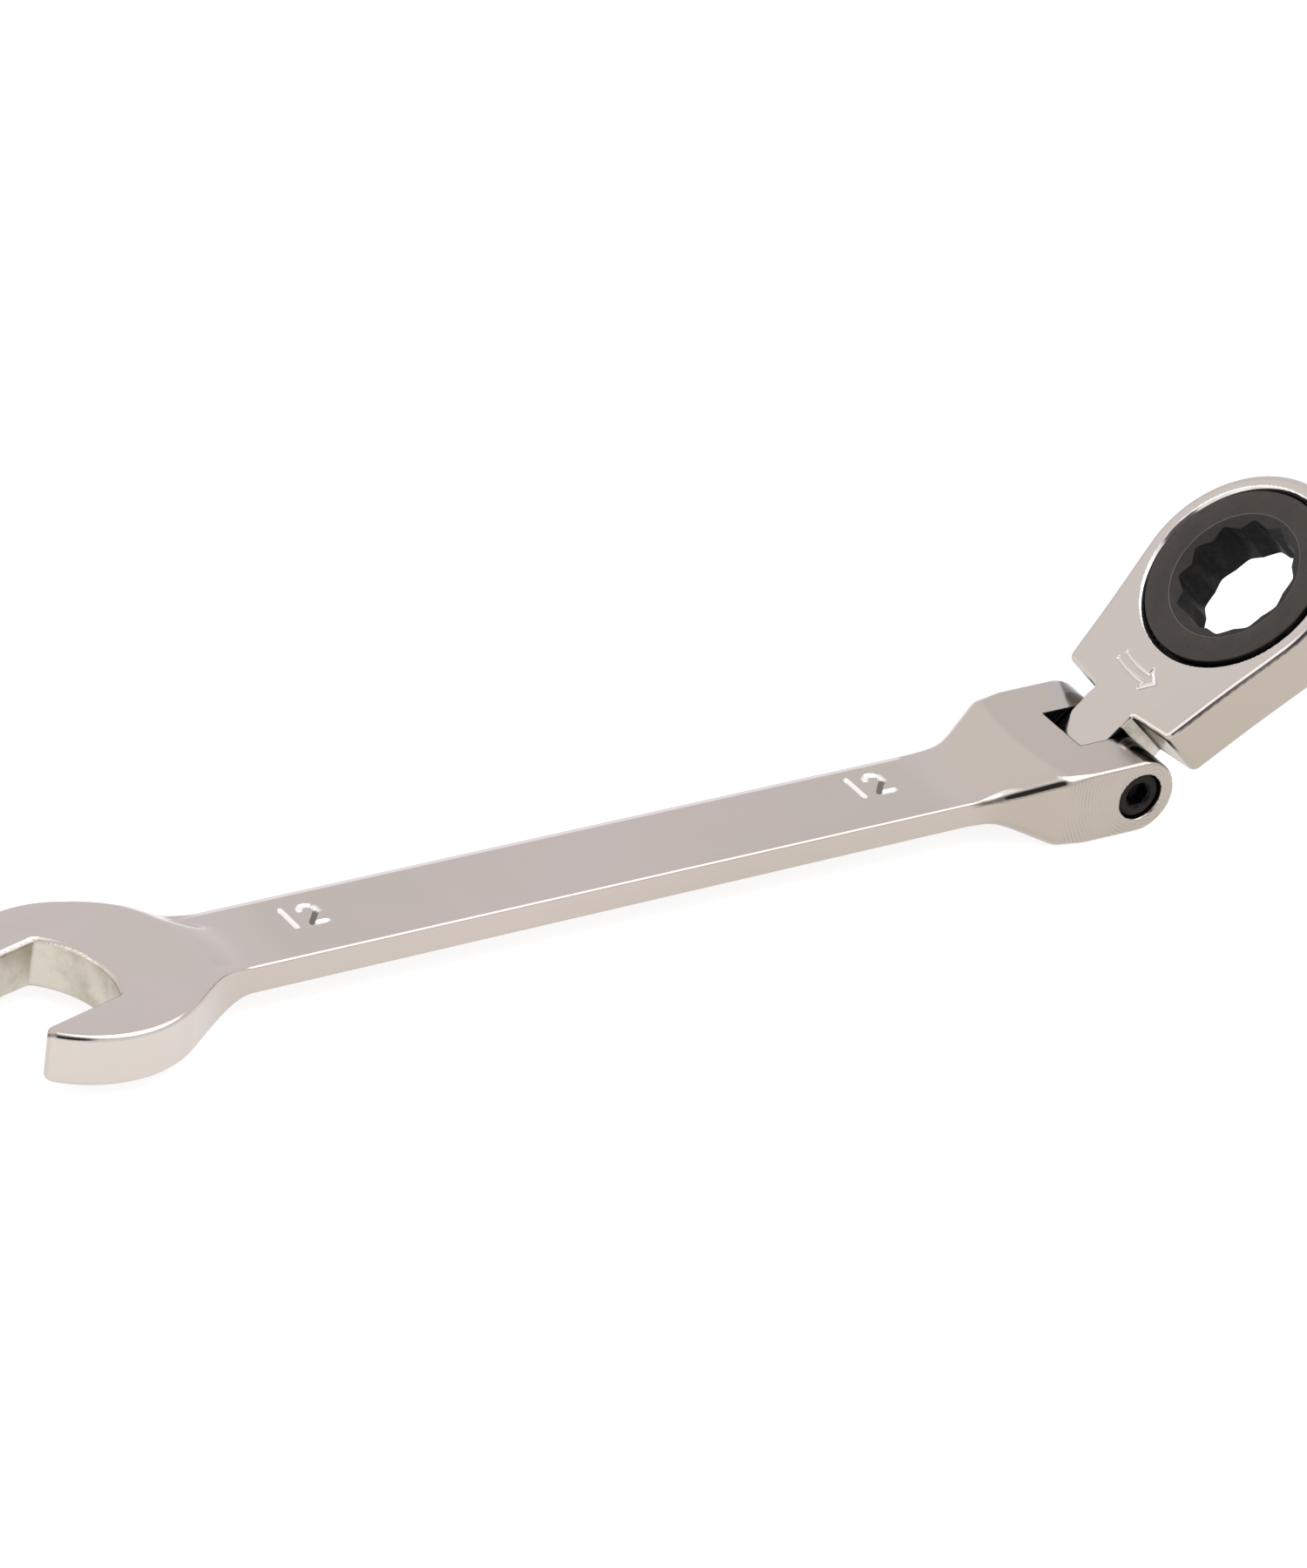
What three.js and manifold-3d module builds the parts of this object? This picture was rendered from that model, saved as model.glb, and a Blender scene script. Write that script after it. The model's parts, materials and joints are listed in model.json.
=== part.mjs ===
// Flex-head ratcheting combination wrench, 12 mm.
// Millimetres, +Z up. The open jaw is at -X, the ring head at +X, and the hinge axis lies along Y.
// The wrench is built about the hinge axis, then set with its lowest face on Z = 0.
import * as THREE from 'three';
import { mergeVertices } from 'three/addons/utils/BufferGeometryUtils.js';
import Module from 'manifold-3d';

const wasm = await Module();
wasm.setup();

// ---------------------------------------------------------------- driving dimensions

const rad = THREE.MathUtils.degToRad;

// Open jaw
const JAW_CENTRE_X = -120;        // middle of the jaw opening, measured from the hinge axis
const JAW_ANGLE = rad(15);        // the opening is turned by 15 degrees from the shank
const JAW_GAP = 12.1;             // between the two flats, for a 12 mm bolt
const JAW_THICKNESS = 5.7;
const JAW_RADIUS = 12.6;
const JAW_ROUND_X = -2.03;        // centre of the jaw's round outline, in the jaw's own axes
const JAW_ROUND_Y = -0.44;
const JAW_FLAT_END = -1.9;        // where the flats meet the throat
const JAW_THROAT = 0.2;           // deepest point of the throat
const JAW_TIP_RADIUS = 1.5;
const JAW_STEP_INNER = 12.7;      // the jaw's faces ramp down to the shank between these two radii
const JAW_STEP_OUTER = 14.3;
const NECK_FILLET = 12;
const EDGE_ROUND = 0.45;

// Shank and fork
const SHANK_HALF_WIDTH = 5.6;
const SHANK_HALF_JAW = 1.6;       // half thickness where the shank leaves the jaw
const SHANK_HALF_FORK = 1.42;     // and where it reaches the fork
const NECK_HALF = 1.5;
const FORK_HALF_WIDTH = 9.15;
const FORK_HALF = 4.15;           // half thickness of the fork, and radius of its rounded ears
const FLARE_START = -19.8;
const SWELL_START = -18.4;
const SLOT_END = -4.5;
const SLOT_HALF = 3.45;

// Hinge screw
const SCREW_HEAD_RADIUS = 2.45;
const SCREW_SHAFT_RADIUS = 2.0;
const SCREW_THREAD_RADIUS = 1.75;
const SCREW_HEX = 2.5;            // hex key size
const SCREW_SEAT = -6.1;          // bottom of the counterbore in the near ear
const HINGE_GAP = 0.15;

// Ring head, in its own axes: x along the head from the hinge, z along the ring's bore
const HEAD_TILT = rad(42.3);
const RING_CENTRE = 23.6;
const RING_RADIUS = 12.65;
const HEAD_HALF = 3.5;
const SHOULDER_X = 5.95;
const SHOULDER_ROOT_X = 5.45;
const SHOULDER_HALF_WIDTH = 9.15;
const TONGUE_HALF = 3.25;
const TONGUE_ROOT_HALF = 3.8;     // the tongue is left wider next to the ring, clear of the ears
const TONGUE_ROOT_X = 4.5;
const LIP_RADIUS = 10.6;          // the bore's top lip, which the gear sits under
const LIP_Z = 2.35;
const LIP_CHAMFER = 0.3;
const BORE_RADIUS = 11.2;
const GROOVE_RADIUS = 11.85;
const GROOVE_LOW = -3.05;
const GROOVE_HIGH = -2.2;
const POCKET_BACK = 7.9;
const POCKET_HALF_WIDTH = 4.35;
const POCKET_HALF_HEIGHT = 2.25;

// Ratchet gear
const GEAR_TEETH = 72;
const GEAR_TIP_RADIUS = 11.0;
const GEAR_ROOT_RADIUS = 10.5;
const GEAR_FACE_RADIUS = 10.4;
const GEAR_HUB_RADIUS = 10.2;
const GEAR_TEETH_LOW = -2.05;
const GEAR_TEETH_HIGH = 2.2;
const GEAR_TOP = 3.72;            // the gear's face stands just proud of the head
const GEAR_BOTTOM = -3.42;
const SOCKET_FLATS = 12.1;        // across the flats of the 12-point socket
const SOCKET_PHASE = rad(2);
const SOCKET_CHAMFER_RADIUS = 7.5;
const SOCKET_CHAMFER_DEPTH = 0.75;

// Pawl, its spring and the ring that keeps the gear in
const PAWL_TRAVEL = 0.5;
const PAWL_BACK = 8.6;
const PAWL_HALF_WIDTH = 4.1;
const PAWL_HALF_HEIGHT = 2.0;
const PAWL_TEETH = 8;
const SPRING_BORE_END = 6.5;
const SPRING_BORE_RADIUS = 1.35;
const SPRING_COIL_RADIUS = 0.88;
const SPRING_WIRE_RADIUS = 0.17;
const SPRING_TURNS = 5;
const CLIP_INNER_RADIUS = 10.45;
const CLIP_OUTER_RADIUS = 11.75;
const CLIP_GAP = rad(28);

// Marks: the nominal size on the shank and the drive-direction arrow on the head
const MARK_DEPTH = 0.12;
const MARK_STROKE = 0.45;

// ---------------------------------------------------------------- helpers

function solid(geometry) {
  const plain = geometry.clone();
  plain.deleteAttribute('normal');
  plain.deleteAttribute('uv');
  const merged = mergeVertices(plain, 1e-5);
  return new wasm.Manifold(new wasm.Mesh({
    numProp: 3,
    vertProperties: new Float32Array(merged.attributes.position.array),
    triVerts: new Uint32Array(merged.index.array),
  }));
}

function geometryOf(manifold) {
  const mesh = manifold.getMesh();
  const geometry = new THREE.BufferGeometry();
  geometry.setAttribute('position', new THREE.BufferAttribute(new Float32Array(mesh.vertProperties), 3));
  geometry.setIndex(new THREE.BufferAttribute(new Uint32Array(mesh.triVerts), 1));
  geometry.computeVertexNormals();
  return geometry;
}

function subtractAll(manifold, cutters) {
  return cutters.reduce((body, cutter) => body.subtract(solid(cutter)), manifold);
}

// A prism of a plan shape between two heights.
function prism(shape, low, high, options = {}) {
  const settings = { depth: high - low, bevelEnabled: false, curveSegments: 10, ...options };
  return new THREE.ExtrudeGeometry(shape, settings).translate(0, 0, low);
}

// A prism with rounded top and bottom edges.
function roundedPrism(shape, low, high, radius) {
  const geometry = new THREE.ExtrudeGeometry(shape, {
    depth: high - low - 2 * radius,
    bevelThickness: radius,
    bevelSize: radius,
    bevelOffset: -radius,
    bevelSegments: 2,
    curveSegments: 10,
  });
  return geometry.translate(0, 0, low + radius);
}

// A turned piece: points are [radius, height] pairs from axis to axis, with the axis along Z.
function turned(points, segments = 48) {
  const profile = points.map(([r, z]) => new THREE.Vector2(r, z));
  return new THREE.LatheGeometry(profile, segments).rotateX(Math.PI / 2);
}

function cylinder(radius, low, high, segments = 48) {
  return turned([[0, low], [radius, low], [radius, high], [0, high]], segments);
}

// The same cylinder about the hinge axis, from y = low to y = high.
function hingeCylinder(radius, low, high, segments = 36) {
  return new THREE.CylinderGeometry(radius, radius, high - low, segments).translate(0, (low + high) / 2, 0);
}

function box(x0, x1, y0, y1, z0, z1) {
  const geometry = new THREE.BoxGeometry(x1 - x0, y1 - y0, z1 - z0);
  return geometry.translate((x0 + x1) / 2, (y0 + y1) / 2, (z0 + z1) / 2);
}

function polygon(points) {
  return new THREE.Shape(points.map(([x, y]) => new THREE.Vector2(x, y)));
}

function arcPoints(cx, cy, radius, from, to, count) {
  return Array.from({ length: count + 1 }, (_, i) => {
    const a = from + (to - from) * i / count;
    return [cx + radius * Math.cos(a), cy + radius * Math.sin(a)];
  });
}

// Half size of a bar that swells from one size to another: a concave arc, a slope and a convex arc.
function swell(x, start, from, to, concave, convex, angle) {
  const rise1 = concave * (1 - Math.cos(angle));
  const rise3 = convex * (1 - Math.cos(angle));
  const x1 = start + concave * Math.sin(angle);
  const x2 = x1 + (to - from - rise1 - rise3) / Math.tan(angle);
  const x3 = x2 + convex * Math.sin(angle);
  if (x <= start) return from;
  if (x <= x1) return from + concave - Math.sqrt(concave ** 2 - (x - start) ** 2);
  if (x <= x2) return from + rise1 + (x - x1) * Math.tan(angle);
  if (x <= x3) return to - convex + Math.sqrt(convex ** 2 - (x3 - x) ** 2);
  return to;
}

// ---------------------------------------------------------------- wrench body

const shankStart = JAW_CENTRE_X + 13;
const earNose = Math.sqrt(FORK_HALF ** 2 - (EDGE_ROUND + 0.02) ** 2);

function shankHalfThickness(x) {
  if (x > 0) return Math.sqrt(FORK_HALF ** 2 - x ** 2);
  const along = THREE.MathUtils.clamp((x - shankStart) / (SWELL_START - shankStart), 0, 1);
  const plain = THREE.MathUtils.lerp(SHANK_HALF_JAW, SHANK_HALF_FORK, along);
  return x < SWELL_START ? plain : swell(x, SWELL_START, SHANK_HALF_FORK, FORK_HALF, 13.4, 2, rad(25.2));
}

function shankHalfWidth(x) {
  return swell(x, FLARE_START, SHANK_HALF_WIDTH, FORK_HALF_WIDTH, 13.4, 3, rad(26.5));
}

// The shank and fork are one bar with rounded edges, swept along X through these stations.
function shankStations() {
  const stations = [];
  for (let i = 0; i <= 4; i += 1) stations.push(THREE.MathUtils.lerp(shankStart, FLARE_START, i / 4));
  for (let x = FLARE_START + 0.8; x < -7.2; x += 0.8) stations.push(x);
  stations.push(-6, SLOT_END, 0);
  for (let i = 1; i <= 8; i += 1) stations.push(earNose * Math.sin(i / 8 * Math.PI / 2));
  return stations;
}

function shankBar() {
  const stations = shankStations();
  const halfY = 5;
  const halfZ = 1;
  const corners = [
    [halfY, halfZ, 0], [-halfY, halfZ, 1], [-halfY, -halfZ, 2], [halfY, -halfZ, 3],
  ];
  const outline = corners.flatMap(([y, z, quarter]) => arcPoints(
    y - Math.sign(y) * EDGE_ROUND, z - Math.sign(z) * EDGE_ROUND,
    EDGE_ROUND, quarter * Math.PI / 2, (quarter + 1) * Math.PI / 2, 3,
  ));
  const bar = prism(polygon(outline), 0, stations.length - 1, { steps: stations.length - 1 });
  const position = bar.attributes.position;
  for (let i = 0; i < position.count; i += 1) {
    const y = position.getX(i);
    const z = position.getY(i);
    const x = stations[Math.round(position.getZ(i))];
    position.setXYZ(
      i,
      x,
      y + Math.sign(y) * (shankHalfWidth(x) - halfY),
      z + Math.sign(z) * (shankHalfThickness(x) - halfZ),
    );
  }
  return bar;
}

// Plan of the jaw in its own axes, without the opening; the opening faces -x.
function jawPlan() {
  const tips = [-1, 1].map((side) => {
    const cy = side * (JAW_GAP / 2 + JAW_TIP_RADIUS);
    const reach = JAW_RADIUS - JAW_TIP_RADIUS;
    const cx = JAW_ROUND_X - Math.sqrt(reach ** 2 - (cy - JAW_ROUND_Y) ** 2);
    return { cx, cy, angle: Math.atan2(cy - JAW_ROUND_Y, cx - JAW_ROUND_X) };
  });
  const [near, far] = tips;
  const throatHalf = JAW_GAP / 2;
  const sagitta = JAW_THROAT - JAW_FLAT_END;
  const throatRadius = (throatHalf ** 2 + sagitta ** 2) / (2 * sagitta);
  const throatAngle = Math.asin(throatHalf / throatRadius);
  return polygon([
    ...arcPoints(near.cx, near.cy, JAW_TIP_RADIUS, -1.5 * Math.PI, near.angle, 6),
    ...arcPoints(JAW_ROUND_X, JAW_ROUND_Y, JAW_RADIUS, near.angle, far.angle, 40).slice(1, -1),
    ...arcPoints(far.cx, far.cy, JAW_TIP_RADIUS, far.angle, 1.5 * Math.PI, 6),
    ...arcPoints(JAW_THROAT - throatRadius, 0, throatRadius, throatAngle, -throatAngle, 14),
  ]);
}

// Plan of the neck that blends the jaw's round outline into the shank on both sides.
function neckPlan(cx, cy) {
  const side = (sign) => {
    const fy = sign * (SHANK_HALF_WIDTH + NECK_FILLET);
    const fx = cx + Math.sqrt((JAW_RADIUS + NECK_FILLET) ** 2 - (fy - cy) ** 2);
    const toJaw = Math.atan2(cy - fy, cx - fx);
    const toShank = -sign * Math.PI / 2;
    return arcPoints(fx, fy, NECK_FILLET, toJaw, toShank, 8);
  };
  return polygon([[cx, cy], ...side(-1), ...side(1).reverse()]);
}

function jawSolid() {
  const offset = new THREE.Vector2(JAW_ROUND_X, JAW_ROUND_Y).rotateAround(new THREE.Vector2(), JAW_ANGLE);
  const cx = JAW_CENTRE_X + offset.x;
  const cy = offset.y;
  const half = JAW_THICKNESS / 2;
  const plate = roundedPrism(jawPlan(), -half, half, EDGE_ROUND).rotateZ(JAW_ANGLE);
  plate.translate(JAW_CENTRE_X, 0, 0);
  const neck = prism(neckPlan(cx, cy), -half + 0.01, half - 0.01);
  const step = turned([
    [0, -half - 1], [JAW_STEP_INNER - 1, -half - 1], [JAW_STEP_INNER - 1, -half],
    [JAW_STEP_INNER, -half], [JAW_STEP_OUTER, -NECK_HALF],
    [30, -NECK_HALF], [30, NECK_HALF], [JAW_STEP_OUTER, NECK_HALF], [JAW_STEP_INNER, half],
    [JAW_STEP_INNER - 1, half], [JAW_STEP_INNER - 1, half + 1], [0, half + 1],
  ], 96).translate(cx, cy, 0);
  const opening = prism(jawPlan(), -half - 1, half + 1).rotateZ(JAW_ANGLE).translate(JAW_CENTRE_X, 0, 0);
  const ring = cylinder(JAW_RADIUS - 0.2, -half - 2, half + 2, 96).translate(cx, cy, 0);
  const neckOutside = solid(neck).subtract(solid(ring).subtract(solid(opening)));
  return solid(plate).add(neckOutside.intersect(solid(step)));
}

function digitOne(x, y, size) {
  const half = MARK_STROKE / 2;
  return [
    polygon([[x - half, y], [x + half, y], [x + half, y + size], [x - half, y + size]]),
  ];
}

function digitTwo(x, y, size) {
  const r = size * 0.28;
  const cy = y + size - r;
  const half = MARK_STROKE / 2;
  const outer = arcPoints(x, cy, r + half, rad(170), rad(-35), 10);
  const inner = arcPoints(x, cy, r - half, rad(-35), rad(170), 10);
  const low = x - r - half;
  return [polygon([
    ...outer, [low + 1.5 * half + 0.35, y + 2 * half], [x + r + half, y + 2 * half],
    [x + r + half, y], [low, y], [low, y + half], ...inner,
  ])];
}

function sizeMark(x, y, size, top) {
  const shapes = [...digitOne(x, y, size), ...digitTwo(x + size * 0.8, y, size)];
  return shapes.map((shape) => prism(shape, top - MARK_DEPTH, top + 1));
}

function wrenchBody() {
  const blank = solid(shankBar()).add(jawSolid());
  const screwCuts = [
    hingeCylinder(SCREW_HEAD_RADIUS + HINGE_GAP, -FORK_HALF_WIDTH - 1, SCREW_SEAT),
    hingeCylinder(SCREW_SHAFT_RADIUS + HINGE_GAP, SCREW_SEAT - 1, 0),
    hingeCylinder(SCREW_THREAD_RADIUS + HINGE_GAP, 0, FORK_HALF_WIDTH - 0.8),
  ];
  const slot = box(SLOT_END, 10, -SLOT_HALF, SLOT_HALF, -6, 6);
  const topNear = shankHalfThickness(-95);
  const topFar = shankHalfThickness(-27);
  return subtractAll(blank, [
    slot,
    ...screwCuts,
    ...sizeMark(-96.9, -0.6, 3.5, topNear),
    ...sizeMark(-28.9, -0.2, 3.5, topFar),
  ]);
}

// ---------------------------------------------------------------- ring head

function headPlan() {
  const tangentFrom = (px, py) => {
    const dx = px - RING_CENTRE;
    const distance = Math.hypot(dx, py);
    return Math.atan2(py, dx) - Math.acos(RING_RADIUS / distance);
  };
  const end = tangentFrom(SHOULDER_X, SHOULDER_HALF_WIDTH);
  const corner = 0.7;
  const shape = new THREE.Shape();
  shape.moveTo(SHOULDER_ROOT_X - 0.6, -TONGUE_HALF + 0.4);
  shape.quadraticCurveTo(SHOULDER_ROOT_X, -TONGUE_HALF, SHOULDER_ROOT_X, -TONGUE_HALF - 0.6);
  shape.lineTo(SHOULDER_X - 0.06, -SHOULDER_HALF_WIDTH + corner);
  shape.quadraticCurveTo(SHOULDER_X, -SHOULDER_HALF_WIDTH, SHOULDER_X + corner, -SHOULDER_HALF_WIDTH - 0.14);
  shape.absarc(RING_CENTRE, 0, RING_RADIUS, -end, end, false);
  shape.lineTo(SHOULDER_X + corner, SHOULDER_HALF_WIDTH + 0.14);
  shape.quadraticCurveTo(SHOULDER_X, SHOULDER_HALF_WIDTH, SHOULDER_X - 0.06, SHOULDER_HALF_WIDTH - corner);
  shape.lineTo(SHOULDER_ROOT_X, TONGUE_HALF + 0.6);
  shape.quadraticCurveTo(SHOULDER_ROOT_X, TONGUE_HALF, SHOULDER_ROOT_X - 0.6, TONGUE_HALF - 0.4);
  return shape;
}

// The tongue is a flat bar with a full round end about the hinge axis.
function tongue() {
  const outline = [
    ...arcPoints(0, 0, HEAD_HALF - 0.02, rad(270), rad(90), 16),
    [RING_CENTRE - BORE_RADIUS - 2, HEAD_HALF - 0.02],
    [RING_CENTRE - BORE_RADIUS - 2, -HEAD_HALF + 0.02],
  ];
  return prism(polygon(outline), -TONGUE_HALF, TONGUE_HALF).rotateX(Math.PI / 2);
}

function tongueRoot() {
  const half = HEAD_HALF - 0.04;
  return box(TONGUE_ROOT_X, POCKET_BACK - 1, -TONGUE_ROOT_HALF, TONGUE_ROOT_HALF, -half, half);
}

// Outline of the curved arrow that shows the drive direction, engraved as a thin line.
function arrowMark() {
  const at = (radius, degrees) => [
    RING_CENTRE - radius * Math.cos(rad(degrees)), radius * Math.sin(rad(degrees)),
  ];
  const steps = [0, 1, 2, 3, 4, 5, 6];
  const sweep = (radius, from, to) => steps.map((i) => at(radius, from + (to - from) * i / 6));
  const arrow = (half, wide, tail, neck, tip) => [
    ...sweep(14.2 + half, tail, neck), at(14.2 + wide, neck), at(14.2, tip), at(14.2 - wide, neck),
    ...sweep(14.2 - half, neck, tail),
  ];
  const shape = polygon(arrow(0.5, 1.35, 15, -5, -12.5));
  shape.holes.push(polygon(arrow(0.3, 0.9, 14.1, -5.7, -11.3)));
  return prism(shape, HEAD_HALF - MARK_DEPTH, HEAD_HALF + 1);
}

function ringHead() {
  const plate = roundedPrism(headPlan(), -HEAD_HALF, HEAD_HALF, 0.35);
  const bore = turned([
    [0, -HEAD_HALF - 1], [BORE_RADIUS + 0.3, -HEAD_HALF - 1], [BORE_RADIUS + 0.3, -HEAD_HALF],
    [BORE_RADIUS, -HEAD_HALF + 0.3], [BORE_RADIUS, GROOVE_LOW], [GROOVE_RADIUS, GROOVE_LOW],
    [GROOVE_RADIUS, GROOVE_HIGH], [BORE_RADIUS, GROOVE_HIGH], [BORE_RADIUS, LIP_Z], [LIP_RADIUS, LIP_Z],
    [LIP_RADIUS, HEAD_HALF - LIP_CHAMFER], [LIP_RADIUS + LIP_CHAMFER, HEAD_HALF],
    [LIP_RADIUS + LIP_CHAMFER, HEAD_HALF + 1],
    [0, HEAD_HALF + 1],
  ], 72).translate(RING_CENTRE, 0, 0);
  const pocket = box(
    POCKET_BACK, RING_CENTRE - 8, -POCKET_HALF_WIDTH, POCKET_HALF_WIDTH,
    -POCKET_HALF_HEIGHT, POCKET_HALF_HEIGHT,
  );
  const springBore = cylinder(SPRING_BORE_RADIUS, SPRING_BORE_END, POCKET_BACK + 1, 24).rotateY(Math.PI / 2);
  const pivot = hingeCylinder(SCREW_SHAFT_RADIUS + HINGE_GAP, -TONGUE_HALF - 1, TONGUE_HALF + 1);
  const blank = solid(plate).add(solid(tongue())).add(solid(tongueRoot()));
  return subtractAll(blank, [bore, pocket, springBore, pivot, arrowMark()]);
}

// ---------------------------------------------------------------- ratchet gear

function toothPoint(radius, pitchShare, tooth) {
  const angle = Math.PI + (tooth + pitchShare) * 2 * Math.PI / GEAR_TEETH;
  return [radius * Math.cos(angle), radius * Math.sin(angle)];
}

function gearTeeth() {
  const points = [];
  for (let tooth = 0; tooth < GEAR_TEETH; tooth += 1) {
    points.push(toothPoint(GEAR_ROOT_RADIUS, -0.36, tooth));
    points.push(toothPoint(GEAR_TIP_RADIUS, -0.1, tooth));
    points.push(toothPoint(GEAR_TIP_RADIUS, 0.1, tooth));
    points.push(toothPoint(GEAR_ROOT_RADIUS, 0.36, tooth));
  }
  return prism(polygon(points), GEAR_TEETH_LOW, GEAR_TEETH_HIGH);
}

function twelvePoint(low, high) {
  const tip = SOCKET_FLATS / 2 / Math.cos(rad(30));
  const valley = SOCKET_FLATS / 2 / Math.cos(rad(15));
  const points = Array.from({ length: 24 }, (_, i) => {
    const radius = i % 2 === 0 ? tip : valley;
    const angle = SOCKET_PHASE + i * rad(15);
    return [radius * Math.cos(angle), radius * Math.sin(angle)];
  });
  return prism(polygon(points), low, high);
}

function ratchetGear() {
  const blank = turned([
    [0, GEAR_BOTTOM], [GEAR_HUB_RADIUS - 0.2, GEAR_BOTTOM], [GEAR_HUB_RADIUS, GEAR_BOTTOM + 0.2],
    [GEAR_HUB_RADIUS, GEAR_TEETH_LOW + 0.1], [GEAR_FACE_RADIUS, GEAR_TEETH_LOW + 0.1],
    [GEAR_FACE_RADIUS, GEAR_TOP - 0.15], [GEAR_FACE_RADIUS - 0.15, GEAR_TOP], [0, GEAR_TOP],
  ], 72);
  const small = SOCKET_CHAMFER_RADIUS - 2 * SOCKET_CHAMFER_DEPTH;
  const chamfer = () => turned([
    [0, -SOCKET_CHAMFER_DEPTH], [small, -SOCKET_CHAMFER_DEPTH],
    [SOCKET_CHAMFER_RADIUS, 0], [SOCKET_CHAMFER_RADIUS, 1], [0, 1],
  ], 48);
  return subtractAll(solid(blank).add(solid(gearTeeth())), [
    twelvePoint(GEAR_BOTTOM - 1, GEAR_TOP + 1),
    chamfer().translate(0, 0, GEAR_TOP),
    chamfer().rotateX(Math.PI).translate(0, 0, GEAR_BOTTOM),
  ]);
}

// ---------------------------------------------------------------- pawl, spring, clip and screw

// The pawl's teeth sit in the gear's gaps, half a pitch on from the gear's own teeth.
function pawlPlan() {
  const points = [[PAWL_BACK, PAWL_HALF_WIDTH], [PAWL_BACK, -PAWL_HALF_WIDTH]];
  const root = GEAR_TIP_RADIUS + 0.3;
  const tip = GEAR_ROOT_RADIUS + 0.28;
  const first = -(PAWL_TEETH - 1) / 2;
  points.push([RING_CENTRE - Math.sqrt(root ** 2 - PAWL_HALF_WIDTH ** 2), -PAWL_HALF_WIDTH]);
  for (let i = 0; i < PAWL_TEETH; i += 1) {
    const middle = -(first + i);
    for (const [radius, share] of [[root, 0.3], [tip, 0.06], [tip, -0.06], [root, -0.3]]) {
      const [x, y] = toothPoint(radius, share, middle);
      points.push([RING_CENTRE + x, y]);
    }
  }
  points.push([RING_CENTRE - Math.sqrt(root ** 2 - PAWL_HALF_WIDTH ** 2), PAWL_HALF_WIDTH]);
  return polygon(points);
}

function pawl() {
  const block = solid(prism(pawlPlan(), -PAWL_HALF_HEIGHT, PAWL_HALF_HEIGHT));
  const springSeat = cylinder(SPRING_BORE_RADIUS, PAWL_BACK - 1, PAWL_BACK + 1.7, 24).rotateY(Math.PI / 2);
  return block.subtract(solid(springSeat));
}

class Helix extends THREE.Curve {
  constructor(radius, length, turns) {
    super();
    Object.assign(this, { radius, length, turns });
  }

  getPoint(t, target = new THREE.Vector3()) {
    const angle = 2 * Math.PI * this.turns * t;
    const pitchEase = THREE.MathUtils.smoothstep(t, 0, 1) * 0.25 + t * 0.75;
    return target.set(
      this.length * pitchEase,
      this.radius * Math.cos(angle),
      this.radius * Math.sin(angle),
    );
  }
}

function pawlSpring() {
  const length = PAWL_BACK + 1.7 - PAWL_TRAVEL - 0.15 - SPRING_BORE_END - 0.15 - 2 * SPRING_WIRE_RADIUS;
  const path = new Helix(SPRING_COIL_RADIUS, length, SPRING_TURNS);
  const wire = polygon(arcPoints(0, 0, SPRING_WIRE_RADIUS, 0, 2 * Math.PI * 5 / 6, 5));
  const coil = new THREE.ExtrudeGeometry(wire, {
    steps: SPRING_TURNS * 14, bevelEnabled: false, extrudePath: path,
  });
  return solid(coil.translate(SPRING_BORE_END + 0.15 + SPRING_WIRE_RADIUS, 0, 0));
}

function retainingRing() {
  const end = Math.PI - CLIP_GAP / 2;
  const plan = polygon([
    ...arcPoints(0, 0, CLIP_OUTER_RADIUS, -end, end, 44),
    ...arcPoints(0, 0, CLIP_INNER_RADIUS, end, -end, 44),
  ]);
  return solid(prism(plan, GROOVE_LOW + 0.1, GROOVE_HIGH - 0.1));
}

function pivotScrew() {
  const face = -FORK_HALF_WIDTH + 0.5;
  const shape = turned([
    [0, face], [SCREW_HEAD_RADIUS - 0.3, face], [SCREW_HEAD_RADIUS, face + 0.3],
    [SCREW_HEAD_RADIUS, SCREW_SEAT - 0.1], [SCREW_SHAFT_RADIUS, SCREW_SEAT - 0.1],
    [SCREW_SHAFT_RADIUS, SLOT_HALF - 0.4], [SCREW_THREAD_RADIUS, SLOT_HALF - 0.15],
    [SCREW_THREAD_RADIUS, FORK_HALF_WIDTH - 1.4], [SCREW_THREAD_RADIUS - 0.3, FORK_HALF_WIDTH - 1.1],
    [0, FORK_HALF_WIDTH - 1.1],
  ], 36);
  const corner = SCREW_HEX / 2 / Math.cos(rad(30));
  const hex = prism(polygon(arcPoints(0, 0, corner, 0, rad(300), 5)), face - 1, face + 1.9);
  const turnedToHinge = solid(shape).subtract(solid(hex));
  return geometryOf(turnedToHinge).rotateX(-Math.PI / 2);
}

// ---------------------------------------------------------------- assembly

const chrome = () => new THREE.MeshStandardMaterial({ color: 0xc8c2bc, roughness: 0.28, metalness: 1 });
const darkSteel = () => new THREE.MeshStandardMaterial({ color: 0x4a4542, roughness: 0.45, metalness: 0.9 });
const blackSteel = () => new THREE.MeshStandardMaterial({ color: 0x1c1a1a, roughness: 0.5, metalness: 0.8 });
const springSteel = () => new THREE.MeshStandardMaterial({ color: 0x8f8f8c, roughness: 0.35, metalness: 1 });

function piece(name, geometry, material) {
  const mesh = new THREE.Mesh(geometry, material);
  mesh.name = name;
  return mesh;
}

const head = new THREE.Group();
head.rotation.y = -HEAD_TILT;
const ratchet = new THREE.Group();
ratchet.position.x = RING_CENTRE;
ratchet.add(
  piece('ratchet_gear', geometryOf(ratchetGear()), darkSteel()),
  piece('retaining_ring', geometryOf(retainingRing()), springSteel()),
);
head.add(
  piece('ring_head', geometryOf(ringHead()), chrome()),
  piece('pawl', geometryOf(pawl()), darkSteel()),
  piece('pawl_spring', geometryOf(pawlSpring()), springSteel()),
  ratchet,
);

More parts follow.
